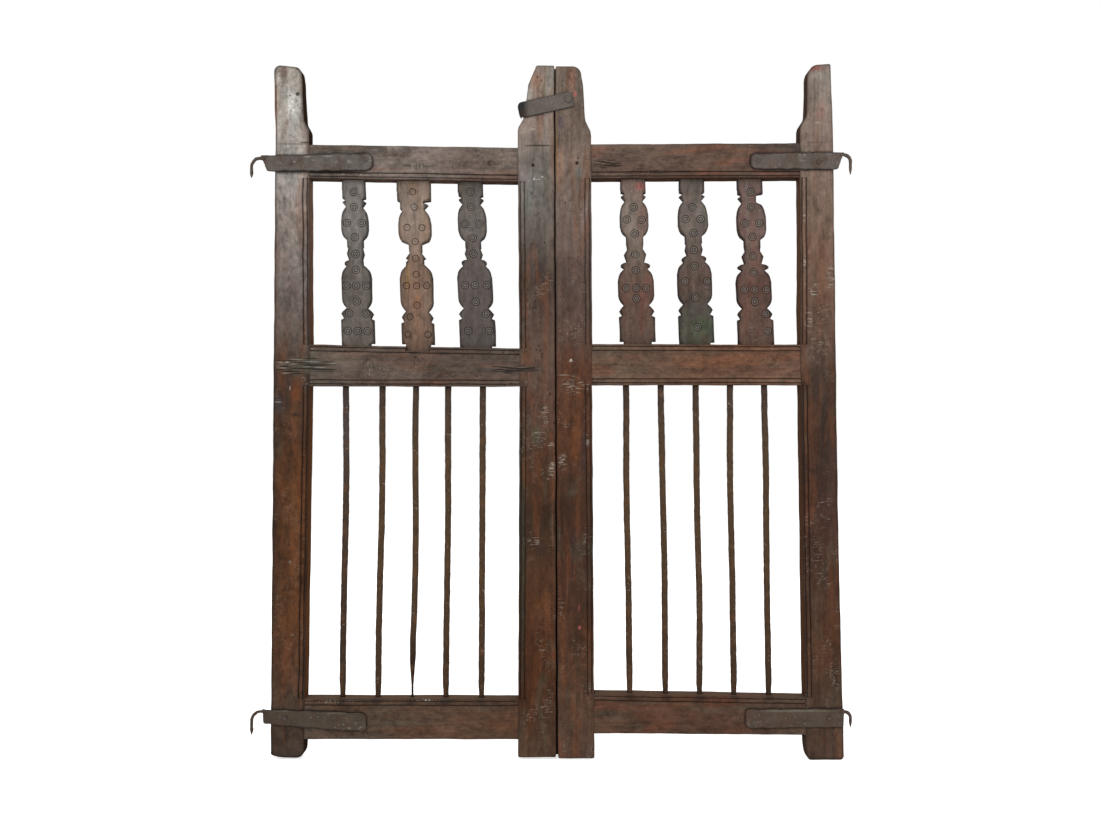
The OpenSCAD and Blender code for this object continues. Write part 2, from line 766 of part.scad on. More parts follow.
peg(right_peg_at);  // right_peg
latch_strap();
latch_rivet();
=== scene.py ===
import json
import math

import bpy
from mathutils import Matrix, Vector


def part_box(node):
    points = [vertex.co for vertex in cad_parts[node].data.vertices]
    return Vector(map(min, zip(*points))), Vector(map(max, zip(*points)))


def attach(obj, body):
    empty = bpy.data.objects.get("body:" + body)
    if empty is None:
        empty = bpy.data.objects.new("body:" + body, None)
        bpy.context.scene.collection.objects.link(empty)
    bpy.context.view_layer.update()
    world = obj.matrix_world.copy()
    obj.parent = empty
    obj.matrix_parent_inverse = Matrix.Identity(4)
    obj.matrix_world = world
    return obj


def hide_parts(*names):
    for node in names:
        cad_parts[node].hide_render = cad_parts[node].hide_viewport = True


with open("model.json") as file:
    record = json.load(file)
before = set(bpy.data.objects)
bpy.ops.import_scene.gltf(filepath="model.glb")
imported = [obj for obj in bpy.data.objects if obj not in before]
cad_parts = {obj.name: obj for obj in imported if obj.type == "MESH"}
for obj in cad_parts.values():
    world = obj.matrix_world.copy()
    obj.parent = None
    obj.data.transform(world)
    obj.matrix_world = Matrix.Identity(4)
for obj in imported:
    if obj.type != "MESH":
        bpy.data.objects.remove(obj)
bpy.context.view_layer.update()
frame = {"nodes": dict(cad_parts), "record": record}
nodes = frame["nodes"]
bpy.ops.object.select_all(action="DESELECT")
print("frame loaded:", len(nodes), "nodes")

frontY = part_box("left_top_rail")[0].y  # front plane of stiles and rails


# Shapes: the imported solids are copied, their arrises worn round and their faces left uneven

record = frame["record"]
bodyOf = {node: body for body, members in record["behaviour"]["bodies"].items() for node in members}
pieces = {}

# fields shared by neighbours, so that joints stay shut: name, direction, cell, strength, middle
hewnFields = [("hewn_x", "X", 0.055, 0.0024, 0.5), ("hewn_y", "Y", 0.040, 0.0022, 0.3),
              ("hewn_z", "Z", 0.060, 0.0020, 0.5)]
woodShapes = {
    "hinge_stile": {"wear": 0.0016, "step": 0.008, "across": 0.012, "lengthwise": "Z", "land": 0.0},
    "meeting_stile": {"wear": 0.0008, "step": 0.008, "across": 0.012, "lengthwise": "Z", "land": 0.0},
    "rail": {"wear": 0.0016, "step": 0.008, "across": 0.012, "lengthwise": "X", "land": 0.0},
    "baluster": {"wear": 0.0009, "step": 0.010, "across": 0.012, "lengthwise": "Z", "land": 0.00007},
}
barShape = {"step": 0.006, "fields": [
    ("bent_x", "X", 0.060, 0.0016, 0.5), ("bent_y", "Y", 0.045, 0.0020, 0.5),
    ("scaled_off", "NORMAL", 0.010, 0.0014, -0.22), ("rust_grain", "NORMAL", 0.004, 0.0006, 0.5)]}
rustedBarShape = {"step": 0.006, "fields": [
    ("bent_x", "X", 0.060, 0.0016, 0.5), ("bent_y", "Y", 0.045, 0.0020, 0.5),
    ("swollen_grain", "NORMAL", 0.004, 0.0006, -1.0)]}
barBows = {  # height of the bow, how far it goes to the right, reach up and down
    "left_bar_1": (0.52, 0.0026, 0.24), "left_bar_2": (0.52, 0.0023, 0.24),
    "left_bar_3": (0.42, 0.0034, 0.26), "left_bar_4": (0.47, 0.0016, 0.28),
    "right_bar_1": (0.54, -0.0018, 0.22), "right_bar_2": (0.39, 0.0018, 0.24),
    "right_bar_3": (0.32, 0.0022, 0.18), "right_bar_4": (0.55, -0.0018, 0.22),
    "right_bar_5": (0.56, 0.0012, 0.20),
}
forgedShape = {"voxel": 0.0010, "rounds": 3, "fields": [
    ("beaten_edge", "Z", 0.022, 0.0046, 0.5), ("hammered", "NORMAL", 0.016, 0.0020, 0.6),
    ("pitted", "NORMAL", 0.005, 0.0008, 0.6)]}
latchShape = {"voxel": 0.0008, "rounds": 3, "fields": [
    ("hammered", "NORMAL", 0.016, 0.0008, 0.9), ("pitted", "NORMAL", 0.005, 0.0005, 0.9)]}

# limits for picking faces and edges, in metres where they are lengths
flatFacing = 0.99  # a broad face looks this squarely forward or back
sideFacing = 0.1  # a side looks no more than this forward or back
deepSide = 0.01  # only a deeper side has an arris
smallestLoop = 0.016  # a smaller ring of edges is a round hole
cutShift = 0.13  # share of a step, so that cuts miss the corners
sameRing = 0.0005
columnWidth = 0.002
rimWidth = 0.005


def takeCopy(nodeName):
    piece = bpy.data.objects.new(nodeName + "_worn", nodes[nodeName].data.copy())
    bpy.context.scene.collection.objects.link(piece)
    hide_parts(nodeName)
    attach(piece, bodyOf[nodeName])
    pieces[nodeName] = piece
    bpy.ops.object.select_all(action="DESELECT")
    bpy.context.view_layer.objects.active = piece
    piece.select_set(True)
    bpy.ops.mesh.customdata_custom_splitnormals_clear()
    bpy.ops.object.mode_set(mode="EDIT")
    bpy.ops.mesh.select_mode(type="EDGE")
    bpy.ops.mesh.select_all(action="SELECT")
    bpy.ops.mesh.remove_doubles(threshold=0.00001)
    bpy.ops.mesh.dissolve_limited(angle_limit=math.radians(0.4))
    bpy.ops.object.mode_set(mode="OBJECT")
    return piece


def clearSelection(mesh):
    for group in (mesh.vertices, mesh.edges, mesh.polygons):
        group.foreach_set("select", [False] * len(group))


def findArrises(mesh, lengthwise):  # edges between a broad face and a deep side, not round holes
    facesAt = {}
    for face in mesh.polygons:
        for key in face.edge_keys:
            facesAt.setdefault(key, []).append(face)
    found = []
    for edge in mesh.edges:
        faces = sorted(facesAt.get(edge.key, []), key=lambda face: abs(face.normal.y))
        if len(faces) != 2 or abs(faces[0].normal.y) > sideFacing or abs(faces[1].normal.y) < flatFacing:
            continue
        depths = [mesh.vertices[v].co.y for v in faces[0].vertices]
        run = mesh.vertices[edge.vertices[1]].co - mesh.vertices[edge.vertices[0]].co
        if max(depths) - min(depths) > deepSide and (lengthwise == "Z" or abs(run.x) > abs(run.z)):
            found.append(edge)
    # group the edges that touch, and leave out the small loops
    groupOf = {}
    for edge in found:
        joined = {v for e in edge.vertices for v in groupOf.get(e, {e})}
        for v in joined:
            groupOf[v] = joined
    kept = []
    for edge in found:
        places = [mesh.vertices[v].co for v in groupOf[edge.vertices[0]]]
        if max(max(p[k] for p in places) - min(p[k] for p in places) for k in (0, 2)) > smallestLoop:
            kept.append(edge)
    return kept


def cutAcross(piece, axis, step):  # more edges for the uneven faces to follow
    k = "XYZ".index(axis)
    places = [v.co[k] for v in piece.data.vertices]
    low, high = min(places), max(places)
    count = max(2, round((high - low) / step))
    normal = [0, 0, 0]
    normal[k] = 1
    bpy.ops.object.mode_set(mode="EDIT")
    for i in range(1, count):
        at = [0, 0, 0]
        at[k] = low + (high - low) * (i + cutShift) / count
        bpy.ops.mesh.select_all(action="SELECT")
        bpy.ops.mesh.bisect(plane_co=at, plane_no=normal)
    bpy.ops.object.mode_set(mode="OBJECT")


def unsettle(piece, fields):
    for name, direction, cell, strength, middle in fields:
        texture = bpy.data.textures.get(name)
        if texture is None:
            texture = bpy.data.textures.new(name, "CLOUDS")
            texture.noise_scale = cell
            texture.noise_depth = 2
        modifier = piece.modifiers.new(name, "DISPLACE")
        modifier.texture = texture
        modifier.texture_coords = "LOCAL"
        modifier.direction = direction
        modifier.strength = strength
        modifier.mid_level = middle
        bpy.ops.object.modifier_apply(modifier=name)


def markLands(mesh, largest):  # small flat faces between carved rings, with no broad flat face beside them
    broad = set()
    for face in mesh.polygons:
        if abs(face.normal.y) > flatFacing and face.area >= largest:
            broad.update(face.edge_keys)
    land = mesh.attributes.new("land", "FLOAT", "FACE")
    land.data.foreach_set("value", [
        float(abs(face.normal.y) > flatFacing and face.area < largest and broad.isdisjoint(face.edge_keys))
        for face in mesh.polygons])


def wearWood(nodeName, shape):
    piece = takeCopy(nodeName)
    arrises = findArrises(piece.data, shape["lengthwise"])
    clearSelection(piece.data)
    for edge in arrises:
        edge.select = True
    bpy.ops.object.mode_set(mode="EDIT")
    bpy.ops.mesh.bevel(offset=shape["wear"], segments=3, affect="EDGES", clamp_overlap=True)
    bpy.ops.object.mode_set(mode="OBJECT")
    # the bevel leaves its own faces selected
    arris = piece.data.attributes.new("arris", "FLOAT", "FACE")
    arris.data.foreach_set("value", [float(face.select) for face in piece.data.polygons])
    markLands(piece.data, shape["land"])
    cutAcross(piece, shape["lengthwise"], shape["step"])
    cutAcross(piece, "X" if shape["lengthwise"] == "Z" else "Z", shape["across"])
    unsettle(piece, hewnFields)
    bpy.ops.object.shade_smooth_by_angle(angle=math.radians(32))
    weight = piece.modifiers.new("even_shading", "WEIGHTED_NORMAL")
    weight.keep_sharp = True
    bpy.ops.object.modifier_apply(modifier=weight.name)
    # how squarely each face looks forward or back, for the painted shade lines on arrises and carving
    slope = piece.data.attributes.new("slope", "FLOAT", "FACE")
    slope.data.foreach_set("value", [abs(face.normal.y) for face in piece.data.polygons])


def bow(piece, height, shift, reach):  # pushes one ring aside, and its neighbours with it
    clearSelection(piece.data)
    nearest = min(piece.data.vertices, key=lambda v: abs(v.co.z - height)).co.z
    for v in piece.data.vertices:
        v.select = abs(v.co.z - nearest) < sameRing
    bpy.ops.object.mode_set(mode="EDIT")
    bpy.ops.mesh.select_mode(type="VERT")
    bpy.ops.transform.translate(value=(shift, 0, 0), use_proportional_edit=True,
                                proportional_edit_falloff="SMOOTH", proportional_size=reach)
    bpy.ops.mesh.select_mode(type="EDGE")
    bpy.ops.object.mode_set(mode="OBJECT")


def wearBar(nodeName, shape):
    piece = takeCopy(nodeName)
    cutAcross(piece, "Z", shape["step"])
    if nodeName in barBows:
        bow(piece, *barBows[nodeName])
    unsettle(piece, shape["fields"])
    bpy.ops.object.shade_smooth_by_angle(angle=math.radians(60))


def markRim(mesh, endsRight):  # 1 on the plate's outline, 0 from rimWidth inside it
    points = [v.co for v in mesh.vertices]
    columns = {}
    for p in points:
        columns.setdefault(round(p.x / columnWidth), []).append(p.z)
    spans = {k: (min(heights), max(heights)) for k, heights in columns.items()}
    end = max(p.x for p in points) if endsRight else min(p.x for p in points)
    near = []
    for p in points:
        low, high = spans[round(p.x / columnWidth)]
        near.append(min(p.z - low, high - p.z, abs(end - p.x)))
    rim = mesh.attributes.new("rim", "FLOAT", "POINT")
    rim.data.foreach_set("value", [max(0.0, 1 - reach / rimWidth) for reach in near])


def forge(nodeName, shape):
    piece = takeCopy(nodeName)
    piece.data.remesh_voxel_size = shape["voxel"]
    bpy.ops.object.voxel_remesh()
    worn = piece.modifiers.new("worn", "SMOOTH")
    worn.factor = 0.5
    worn.iterations = shape["rounds"]
    bpy.ops.object.modifier_apply(modifier=worn.name)
    unsettle(piece, shape["fields"])
    bpy.ops.object.shade_smooth()
    markRim(piece.data, nodeName.startswith("left"))


for nodeName in nodes:
    for kind, shape in woodShapes.items():
        if nodeName.endswith("_" + kind) or f"_{kind}_" in nodeName:
            wearWood(nodeName, shape)
    if "_bar_" in nodeName:
        wearBar(nodeName, rustedBarShape if nodeName == "left_bar_3" else barShape)
    if nodeName.endswith("er_strap"):
        forge(nodeName, forgedShape)
forge("latch_strap", latchShape)
print("worn copies made:", len(pieces), "with", sum(len(p.data.polygons) for p in pieces.values()), "faces")


# small helpers for node trees

def rgb(red, green, blue):  # screen colour, 0 to 255, to the shader's linear values
    shares = [c / 255 for c in (red, green, blue)]
    return tuple(c / 12.92 if c <= 0.04045 else ((c + 0.055) / 1.055) ** 2.4 for c in shares) + (1.0,)


def emptyTree(holder):  # of a material or a world
    holder.use_nodes = True
    holder.node_tree.nodes.clear()
    return holder.node_tree


def put(tree, kind, sockets=None, **settings):
    made = tree.nodes.new(kind)
    for key, value in settings.items():
        setattr(made, key, value)
    for key, value in (sockets or {}).items():
        if isinstance(value, bpy.types.NodeSocket):
            tree.links.new(value, made.inputs[key])
        else:
            made.inputs[key].default_value = value
    return made


def calc(tree, operation, *values):
    return put(tree, "ShaderNodeMath", dict(enumerate(values)), operation=operation).outputs[0]


def times(tree, first, second):
    return calc(tree, "MULTIPLY", first, second)


def vectorCalc(tree, operation, *values):
    return put(tree, "ShaderNodeVectorMath", dict(enumerate(values)), operation=operation).outputs[0]


def spread(tree, value, low, high, start=0.0, end=1.0, soft=True):
    kind = "SMOOTHSTEP" if soft else "LINEAR"
    sockets = {"Value": value, "From Min": low, "From Max": high, "To Min": start, "To Max": end}
    return put(tree, "ShaderNodeMapRange", sockets, interpolation_type=kind).outputs["Result"]


def noise(tree, vector, scale, detail=3.0, roughness=0.55, distortion=0.0):
    scaled = vectorCalc(tree, "MULTIPLY", vector, scale)
    sockets = {"Vector": scaled, "Scale": 1.0, "Detail": detail, "Roughness": roughness,
               "Distortion": distortion}
    return put(tree, "ShaderNodeTexNoise", sockets).outputs[0]


def cells(tree, vector, scale):  # distance to the nearest of many random points
    scaled = vectorCalc(tree, "MULTIPLY", vector, scale)
    return put(tree, "ShaderNodeTexVoronoi", {"Vector": scaled, "Scale": 1.0}).outputs["Distance"]


def meshValue(tree, name):
    return put(tree, "ShaderNodeAttribute", attribute_name=name).outputs["Fac"]


def blend(tree, share, first, second, kind="MIX"):
    sockets = {0: share, 6: first, 7: second}
    return put(tree, "ShaderNodeMix", sockets, data_type="RGBA", blend_type=kind).outputs[2]


def newGroup(name, inputs, outputs):
    tree = bpy.data.node_groups.new(name, "ShaderNodeTree")
    for label, kind, value in inputs:
        socket = tree.interface.new_socket(label, in_out="INPUT", socket_type="NodeSocket" + kind)
        if value is not None:
            socket.default_value = value
    for label, kind in outputs:
        tree.interface.new_socket(label, in_out="OUTPUT", socket_type="NodeSocket" + kind)
    return tree, tree.nodes.new("NodeGroupInput").outputs, tree.nodes.new("NodeGroupOutput").inputs


def endGroup(tree, out, values):
    for socket, value in zip(out, values):
        tree.links.new(value, socket)
    return tree


# shared effects

def buildWoodGroup():  # grain runs along the vector's Z, in metres
    tree, into, out = newGroup("agedWood", [
        ("Vector", "Vector", None), ("Colour", "Color", rgb(100, 75, 60)),
        ("Warm Colour", "Color", rgb(100, 58, 34)), ("Warm Share", "Float", 0.4),
        ("Film Colour", "Color", rgb(84, 82, 68)), ("Film Share", "Float", 0.2),
        ("Grime And Shade Colour", "Color", rgb(38, 28, 22)), ("Crevice", "Float", 0.0),
        ("Streak", "Float", 0.3), ("Mottle", "Float", 0.3), ("Pits", "Float", 0.5),
        ("Nicks", "Float", 0.3), ("Nick Spots", "Float", 0.0)],
        [("Colour", "Color"), ("Roughness", "Float"), ("Height", "Float")])
    vector = into["Vector"]
    streak = noise(tree, vector, (170, 170, 5), 4, 0.6, 0.6)
    bandStreak = noise(tree, vector, (52, 52, 2.6), 3, 0.55, 1.0)
    pore = noise(tree, vector, (620, 620, 30), 3, 0.6)
    mottle = noise(tree, vector, (30, 30, 15), 4, 0.62, 1.0)
    cloud = noise(tree, vector, (120, 120, 80), 4, 0.68, 0.5)
    warmField = noise(tree, vector, (34, 34, 4), 4, 0.55, 1.0)
    filmField = noise(tree, vector, (24, 24, 7), 4, 0.6, 1.4)
    tone = 1.0
    for field, strength in ((streak, "Streak"), (mottle, "Mottle"), (cloud, "Mottle"), (pore, "Streak"),
                            (bandStreak, "Streak")):
        tone = calc(tree, "MULTIPLY_ADD", calc(tree, "SUBTRACT", field, 0.5), into[strength], tone)
    tone = calc(tree, "MAXIMUM", tone, 0.25)
    warm = times(tree, spread(tree, warmField, 0.48, 0.66), into["Warm Share"])
    base = blend(tree, warm, into["Colour"], into["Warm Colour"])
    film = times(tree, spread(tree, filmField, 0.52, 0.68), into["Film Share"])
    base = blend(tree, film, base, into["Film Colour"])
    base = blend(tree, 1.0, base, tone, "MULTIPLY")
    # small worm holes and pits, in clusters
    pitField = spread(tree, noise(tree, vector, (26, 26, 20), 2), 0.52, 0.66)
    pit = times(tree, spread(tree, cells(tree, vector, (150, 150, 90)), 0.3, 0.12), pitField)
    pit = times(tree, pit, into["Pits"])
    base = blend(tree, pit, base, into["Grime And Shade Colour"])
    # pale nicks across the grain, specks and hairlines
    nickNoise = noise(tree, vector, (70, 70, 430), 3, 0.55)
    nickLine = spread(tree, nickNoise, 0.6, 0.7)
    nickField = spread(tree, noise(tree, vector, (21, 21, 12), 2), 0.5, 0.68)
    speck = times(tree, spread(tree, cells(tree, vector, (240, 240, 200)), 0.34, 0.2),
                  spread(tree, noise(tree, vector, (60, 60, 60), 2), 0.52, 0.62))
    crack = noise(tree, vector, (34, 34, 26), 5, 0.7, 0.8)
    hair = spread(tree, calc(tree, "ABSOLUTE", calc(tree, "SUBTRACT", crack, 0.5)), 0.012, 0.004)
    hair = times(tree, hair, spread(tree, cloud, 0.46, 0.6))
    cut = calc(tree, "MAXIMUM", nickLine, calc(tree, "MAXIMUM", speck, times(tree, hair, 0.7)))
    nickShare = times(tree, nickField, into["Nicks"])
    dense = calc(tree, "MAXIMUM", cut, spread(tree, nickNoise, 0.53, 0.62))
    dense = times(tree, dense, into["Nick Spots"])
    nick = calc(tree, "MAXIMUM", times(tree, cut, nickShare), dense)
    pale = blend(tree, 0.55, base, rgb(190, 180, 166))
    base = blend(tree, nick, base, pale)
    # painted shade, with some dirt, in grooves and against neighbours
    base = blend(tree, times(tree, into["Crevice"], 0.8), base, into["Grime And Shade Colour"])
    rough = spread(tree, calc(tree, "ADD", streak, cloud), 0.6, 1.4, 0.58, 0.82, False)
    height = calc(tree, "MULTIPLY_ADD", streak, 0.5, times(tree, pore, 0.3))
    height = calc(tree, "MULTIPLY_ADD", cloud, 0.35, height)
    height = calc(tree, "SUBTRACT", height, times(tree, pit, 0.8))
    height = calc(tree, "SUBTRACT", height, times(tree, nick, 0.35))
    return endGroup(tree, out, (base, rough, height))


def buildIronGroup():
    tree, into, out = newGroup("forgedIron", [
        ("Vector", "Vector", None), ("Colour", "Color", rgb(90, 82, 76)),
        ("Rust Colour", "Color", rgb(96, 62, 40)), ("Rust Share", "Float", 0.4),
        ("Grime And Shade Colour", "Color", rgb(34, 28, 24)), ("Crevice", "Float", 0.0),
        ("Mottle", "Float", 0.3), ("Pits", "Float", 0.5), ("Nicks", "Float", 0.3)],
        [("Colour", "Color"), ("Roughness", "Float"), ("Height", "Float")])
    vector = into["Vector"]
    dent = noise(tree, vector, (60, 60, 60), 3, 0.5)
    grit = noise(tree, vector, (420, 420, 420), 4, 0.65)
    rustField = noise(tree, vector, (34, 34, 34), 4, 0.62, 0.6)
    rust = times(tree, spread(tree, rustField, 0.46, 0.66), into["Rust Share"])
    tone = calc(tree, "MULTIPLY_ADD", calc(tree, "SUBTRACT", dent, 0.5), into["Mottle"], 1.0)
    tone = calc(tree, "MULTIPLY_ADD", calc(tree, "SUBTRACT", grit, 0.5), into["Mottle"], tone)
    base = blend(tree, 1.0, blend(tree, rust, into["Colour"], into["Rust Colour"]), tone, "MULTIPLY")
    pit = times(tree, spread(tree, cells(tree, vector, (230, 230, 230)), 0.34, 0.1), into["Pits"])
    base = blend(tree, times(tree, pit, 0.6), base, into["Grime And Shade Colour"])
    # bright scrapes on the bare metal
    scrape = spread(tree, noise(tree, vector, (150, 150, 260), 3, 0.6, 0.8), 0.62, 0.7)
    scrape = times(tree, scrape, spread(tree, noise(tree, vector, (28, 28, 40), 2), 0.46, 0.6))
    base = blend(tree, times(tree, scrape, into["Nicks"]), base, rgb(172, 164, 154))
    # painted shade, with some dirt, in crevices and along the outline
    base = blend(tree, times(tree, into["Crevice"], 0.8), base, into["Grime And Shade Colour"])
    rough = calc(tree, "ADD", 0.46, times(tree, rust, 0.5))
    height = calc(tree, "MULTIPLY_ADD", dent, 0.8, times(tree, grit, 0.4))
    height = calc(tree, "SUBTRACT", height, times(tree, pit, 0.5))
    return endGroup(tree, out, (base, rough, height))


def ellipseReach(tree, into):  # 0 at Centre, 1 on the outline that Size gives
    away = vectorCalc(tree, "SUBTRACT", into["Vector"], into["Centre"])
    away = vectorCalc(tree, "DIVIDE", away, into["Size"])
    return put(tree, "ShaderNodeVectorMath", {0: away}, operation="LENGTH").outputs["Value"]


def buildStainGroup():  # one soft-edged spot of another colour, sunk by Depth
    tree, into, out = newGroup("stain", [
        ("Vector", "Vector", None), ("Colour", "Color", rgb(100, 75, 60)), ("Height", "Float", 0.0),
        ("Stain", "Color", rgb(60, 45, 38)), ("Centre", "Vector", None), ("Size", "Vector", None),
        ("Strength", "Float", 1.0), ("Ragged", "Float", 0.4), ("Edge", "Float", 0.3),
        ("Depth", "Float", 0.0)], [("Colour", "Color"), ("Height", "Float")])
    rag = calc(tree, "ADD", noise(tree, into["Vector"], (80, 80, 50), 4, 0.65),
               times(tree, noise(tree, into["Vector"], (330, 330, 240), 3, 0.6), 0.7))
    rag = calc(tree, "SUBTRACT", rag, 0.85)
    reach = calc(tree, "MULTIPLY_ADD", rag, into["Ragged"], ellipseReach(tree, into))
    mask = times(tree, spread(tree, reach, 1.0, into["Edge"]), into["Strength"])
    sunk = calc(tree, "SUBTRACT", into["Height"], times(tree, mask, into["Depth"]))
    return endGroup(tree, out, (blend(tree, mask, into["Colour"], into["Stain"]), sunk))


def buildSpotGroup():  # 1 inside an upright ellipse, 0 outside
    tree, into, out = newGroup("spot", [("Vector", "Vector", None), ("Centre", "Vector", None),
                                        ("Size", "Vector", None), ("Others", "Float", 0.0)],
                               [("Mask", "Float")])
    inside = spread(tree, ellipseReach(tree, into), 1.0, 0.4)
    return endGroup(tree, out, (calc(tree, "MAXIMUM", inside, into["Others"]),))


woodGroup = buildWoodGroup()
spotGroup = buildSpotGroup()
ironGroup = buildIronGroup()
stainGroup = buildStainGroup()
print("shader groups built")


def useGroup(tree, group, sockets):
    return put(tree, "ShaderNodeGroup", sockets, node_tree=group)


def addStains(tree, place, colour, height, stains):
    for label, x, z, halfWide, halfHigh, tint, strength, ragged, edge, depth in stains:
        made = useGroup(tree, stainGroup, {
            "Vector": place, "Colour": colour, "Height": height, "Stain": rgb(*tint),
            "Centre": (x, frontY, z), "Size": (halfWide, 0.08, halfHigh), "Strength": strength,
            "Ragged": ragged, "Edge": edge, "Depth": depth})
        made.label = label
        colour, height = made.outputs["Colour"], made.outputs["Height"]
    return colour, height


def startMaterial(name, look):
    material = bpy.data.materials.new(name)
    tree = emptyTree(material)
    place = tree.nodes.new("ShaderNodeTexCoord").outputs["Object"]
    # colour bands along the piece, with a wandering border
    axis = put(tree, "ShaderNodeSeparateXYZ", {0: place}).outputs[look["bandAxis"]]
    wander = calc(tree, "SUBTRACT", noise(tree, place, (22, 22, 9), 3), 0.5)
    along = calc(tree, "MULTIPLY_ADD", wander, look["wander"], axis)
    first, last = look["bands"][0][0], look["bands"][-1][0]
    ramp = put(tree, "ShaderNodeValToRGB", {0: spread(tree, along, first, last, soft=False)})
    stops = ramp.color_ramp.elements
    while len(stops) < len(look["bands"]):
        stops.new(0.5)
    for stop, (at, tint) in zip(stops, look["bands"]):
        stop.position = (at - first) / (last - first)
        stop.color = rgb(*tint)
    patches = [(*patch, 0.0) for patch in look.get("patches", [])]  # flat, so with no depth
    colour, _ = addStains(tree, place, ramp.outputs[0], 0.0, patches)
    # painted shade: darker where other surfaces close in, as the occlusion node finds
    openness = put(tree, "ShaderNodeAmbientOcclusion", {"Distance": look["creviceReach"]}, samples=8)
    crevice = spread(tree, openness.outputs["AO"], *look["creviceRange"])
    if look["rimShare"]:  # painted shade, with some dirt, along the outline
        inner = put(tree, "ShaderNodeAmbientOcclusion", {"Distance": look["rimReach"]},
                    samples=8, inside=True, only_local=True)
        rim = times(tree, spread(tree, inner.outputs["AO"], 0.88, 0.6), look["rimShare"])
        crevice = calc(tree, "MAXIMUM", crevice, rim)
    return material, tree, place, colour, crevice


def endMaterial(tree, colour, roughness, height, look):
    bump = put(tree, "ShaderNodeBump", {
        "Height": height, "Strength": look["bump"], "Distance": look["bumpDepth"]})
    shader = put(tree, "ShaderNodeBsdfPrincipled", {
        "Base Color": colour, "Roughness": roughness, "Normal": bump.outputs[0],
        "Metallic": look["metallic"], "Specular IOR Level": look["specular"]})
    put(tree, "ShaderNodeOutputMaterial", {"Surface": shader.outputs[0]})


woodDefaults = {
    "bandAxis": "Z", "grainTurn": 0, "offset": (0, 0, 0), "warm": (104, 62, 38), "warmShare": 0.35,
    "film": (84, 82, 68), "filmShare": 0.3, "grimeAndShade": (32, 23, 18), "streak": 0.75, "mottle": 1.3,
    "pits": 0.5, "nicks": 0.45, "wander": 0.10, "creviceReach": 0.010, "creviceRange": (0.9, 0.6),
    "sideTint": (66, 45, 33), "endTint": (58, 44, 36), "sideSpan": (0.0, 2.0), "sideShare": 0.75,
    "outerShare": 0.45, "lineShare": 0.45, "carveShare": 0.45, "landLightTint": (190, 182, 172), "landLightShare": 0.0,
    "rimShare": 0.5, "rimReach": 0.005, "bump": 0.8, "bumpDepth": 0.0018, "metallic": 0.0, "specular": 0.1,
}

ironDefaults = {
    "bandAxis": "X", "rust": (80, 56, 40), "rustShare": 0.45, "grimeAndShade": (22, 17, 15), "mottle": 0.9,
    "pits": 0.7, "nicks": 0.6, "wander": 0.02, "creviceReach": 0.006, "creviceRange": (0.9, 0.5),
    "rimShare": 0.0, "edgeShare": 0.9, "bump": 0.6, "bumpDepth": 0.0012, "metallic": 0.0, "specular": 0.2,
}


def woodMaterial(name, settings):
    look = {**woodDefaults, **settings}
    material, tree, place, colour, crevice = startMaterial(name, look)
    turned = put(tree, "ShaderNodeMapping", {
        "Vector": place, "Location": look["offset"],
        "Rotation": (0, math.radians(look["grainTurn"]), 0)}).outputs[0]
    spots = 0.0
    for x, z, halfWide, halfHigh in look.get("nickSpots", []):
        spots = useGroup(tree, spotGroup, {
            "Vector": place, "Centre": (x, frontY, z), "Size": (halfWide, 0.02, halfHigh),
            "Others": spots}).outputs["Mask"]
    wood = useGroup(tree, woodGroup, {
        "Vector": turned, "Colour": colour, "Warm Colour": rgb(*look["warm"]),
        "Warm Share": look["warmShare"], "Film Colour": rgb(*look["film"]),
        "Film Share": look["filmShare"], "Grime And Shade Colour": rgb(*look["grimeAndShade"]), "Crevice": crevice,
        "Streak": look["streak"], "Mottle": look["mottle"], "Pits": look["pits"],
        "Nicks": look["nicks"], "Nick Spots": spots})
    colour, height = addStains(tree, place, wood.outputs["Colour"], wood.outputs["Height"],
                               look.get("marks", []))
    # painted shade as dark lines on arrises and carving, and painted light and shade on the browner sides
    slope = meshValue(tree, "slope")
    line = times(tree, spread(tree, slope, 0.95, 0.7), spread(tree, slope, 0.15, 0.4))
    arris = meshValue(tree, "arris")
    share = spread(tree, arris, 0.0, 1.0, look["carveShare"], look["lineShare"], False)
    line = times(tree, line, share)
    colour = blend(tree, line, colour, rgb(*look["grimeAndShade"]))
    if look["landLightShare"]:  # painted light: paler between the carved rings
        land = meshValue(tree, "land")
        colour = blend(tree, times(tree, land, look["landLightShare"]), colour, rgb(*look["landLightTint"]))
    # painted light and shade: the sides take another colour inside the openings
    low, high = look["sideSpan"]
    parts = put(tree, "ShaderNodeSeparateXYZ", {0: place}).outputs
    inside = times(tree, spread(tree, parts["Z"], low - 0.01, low),
                   spread(tree, parts["Z"], high + 0.01, high))
    endShare = 1.0
    if "innerFrom" in look:  # the outer side stays nearer to the front's colour
        inner = spread(tree, parts["X"], *look["innerFrom"])
        inside = times(tree, inside, inner)
        endShare = spread(tree, inner, 0.0, 1.0, look["outerShare"], 1.0, False)
    sideColour = blend(tree, inside, rgb(*look["endTint"]), rgb(*look["sideTint"]))
    sideways = spread(tree, slope, 0.4, 0.1)
    sideShare = spread(tree, inside, 0.0, 1.0, endShare, look["sideShare"], False)
    colour = blend(tree, times(tree, sideways, sideShare), colour, sideColour)
    # no sheen on the sides, where the white room would bleach them
    sheen = times(tree, calc(tree, "SUBTRACT", 1.0, sideways), look["specular"])
    endMaterial(tree, colour, wood.outputs["Roughness"], height, {**look, "specular": sheen})
    return material


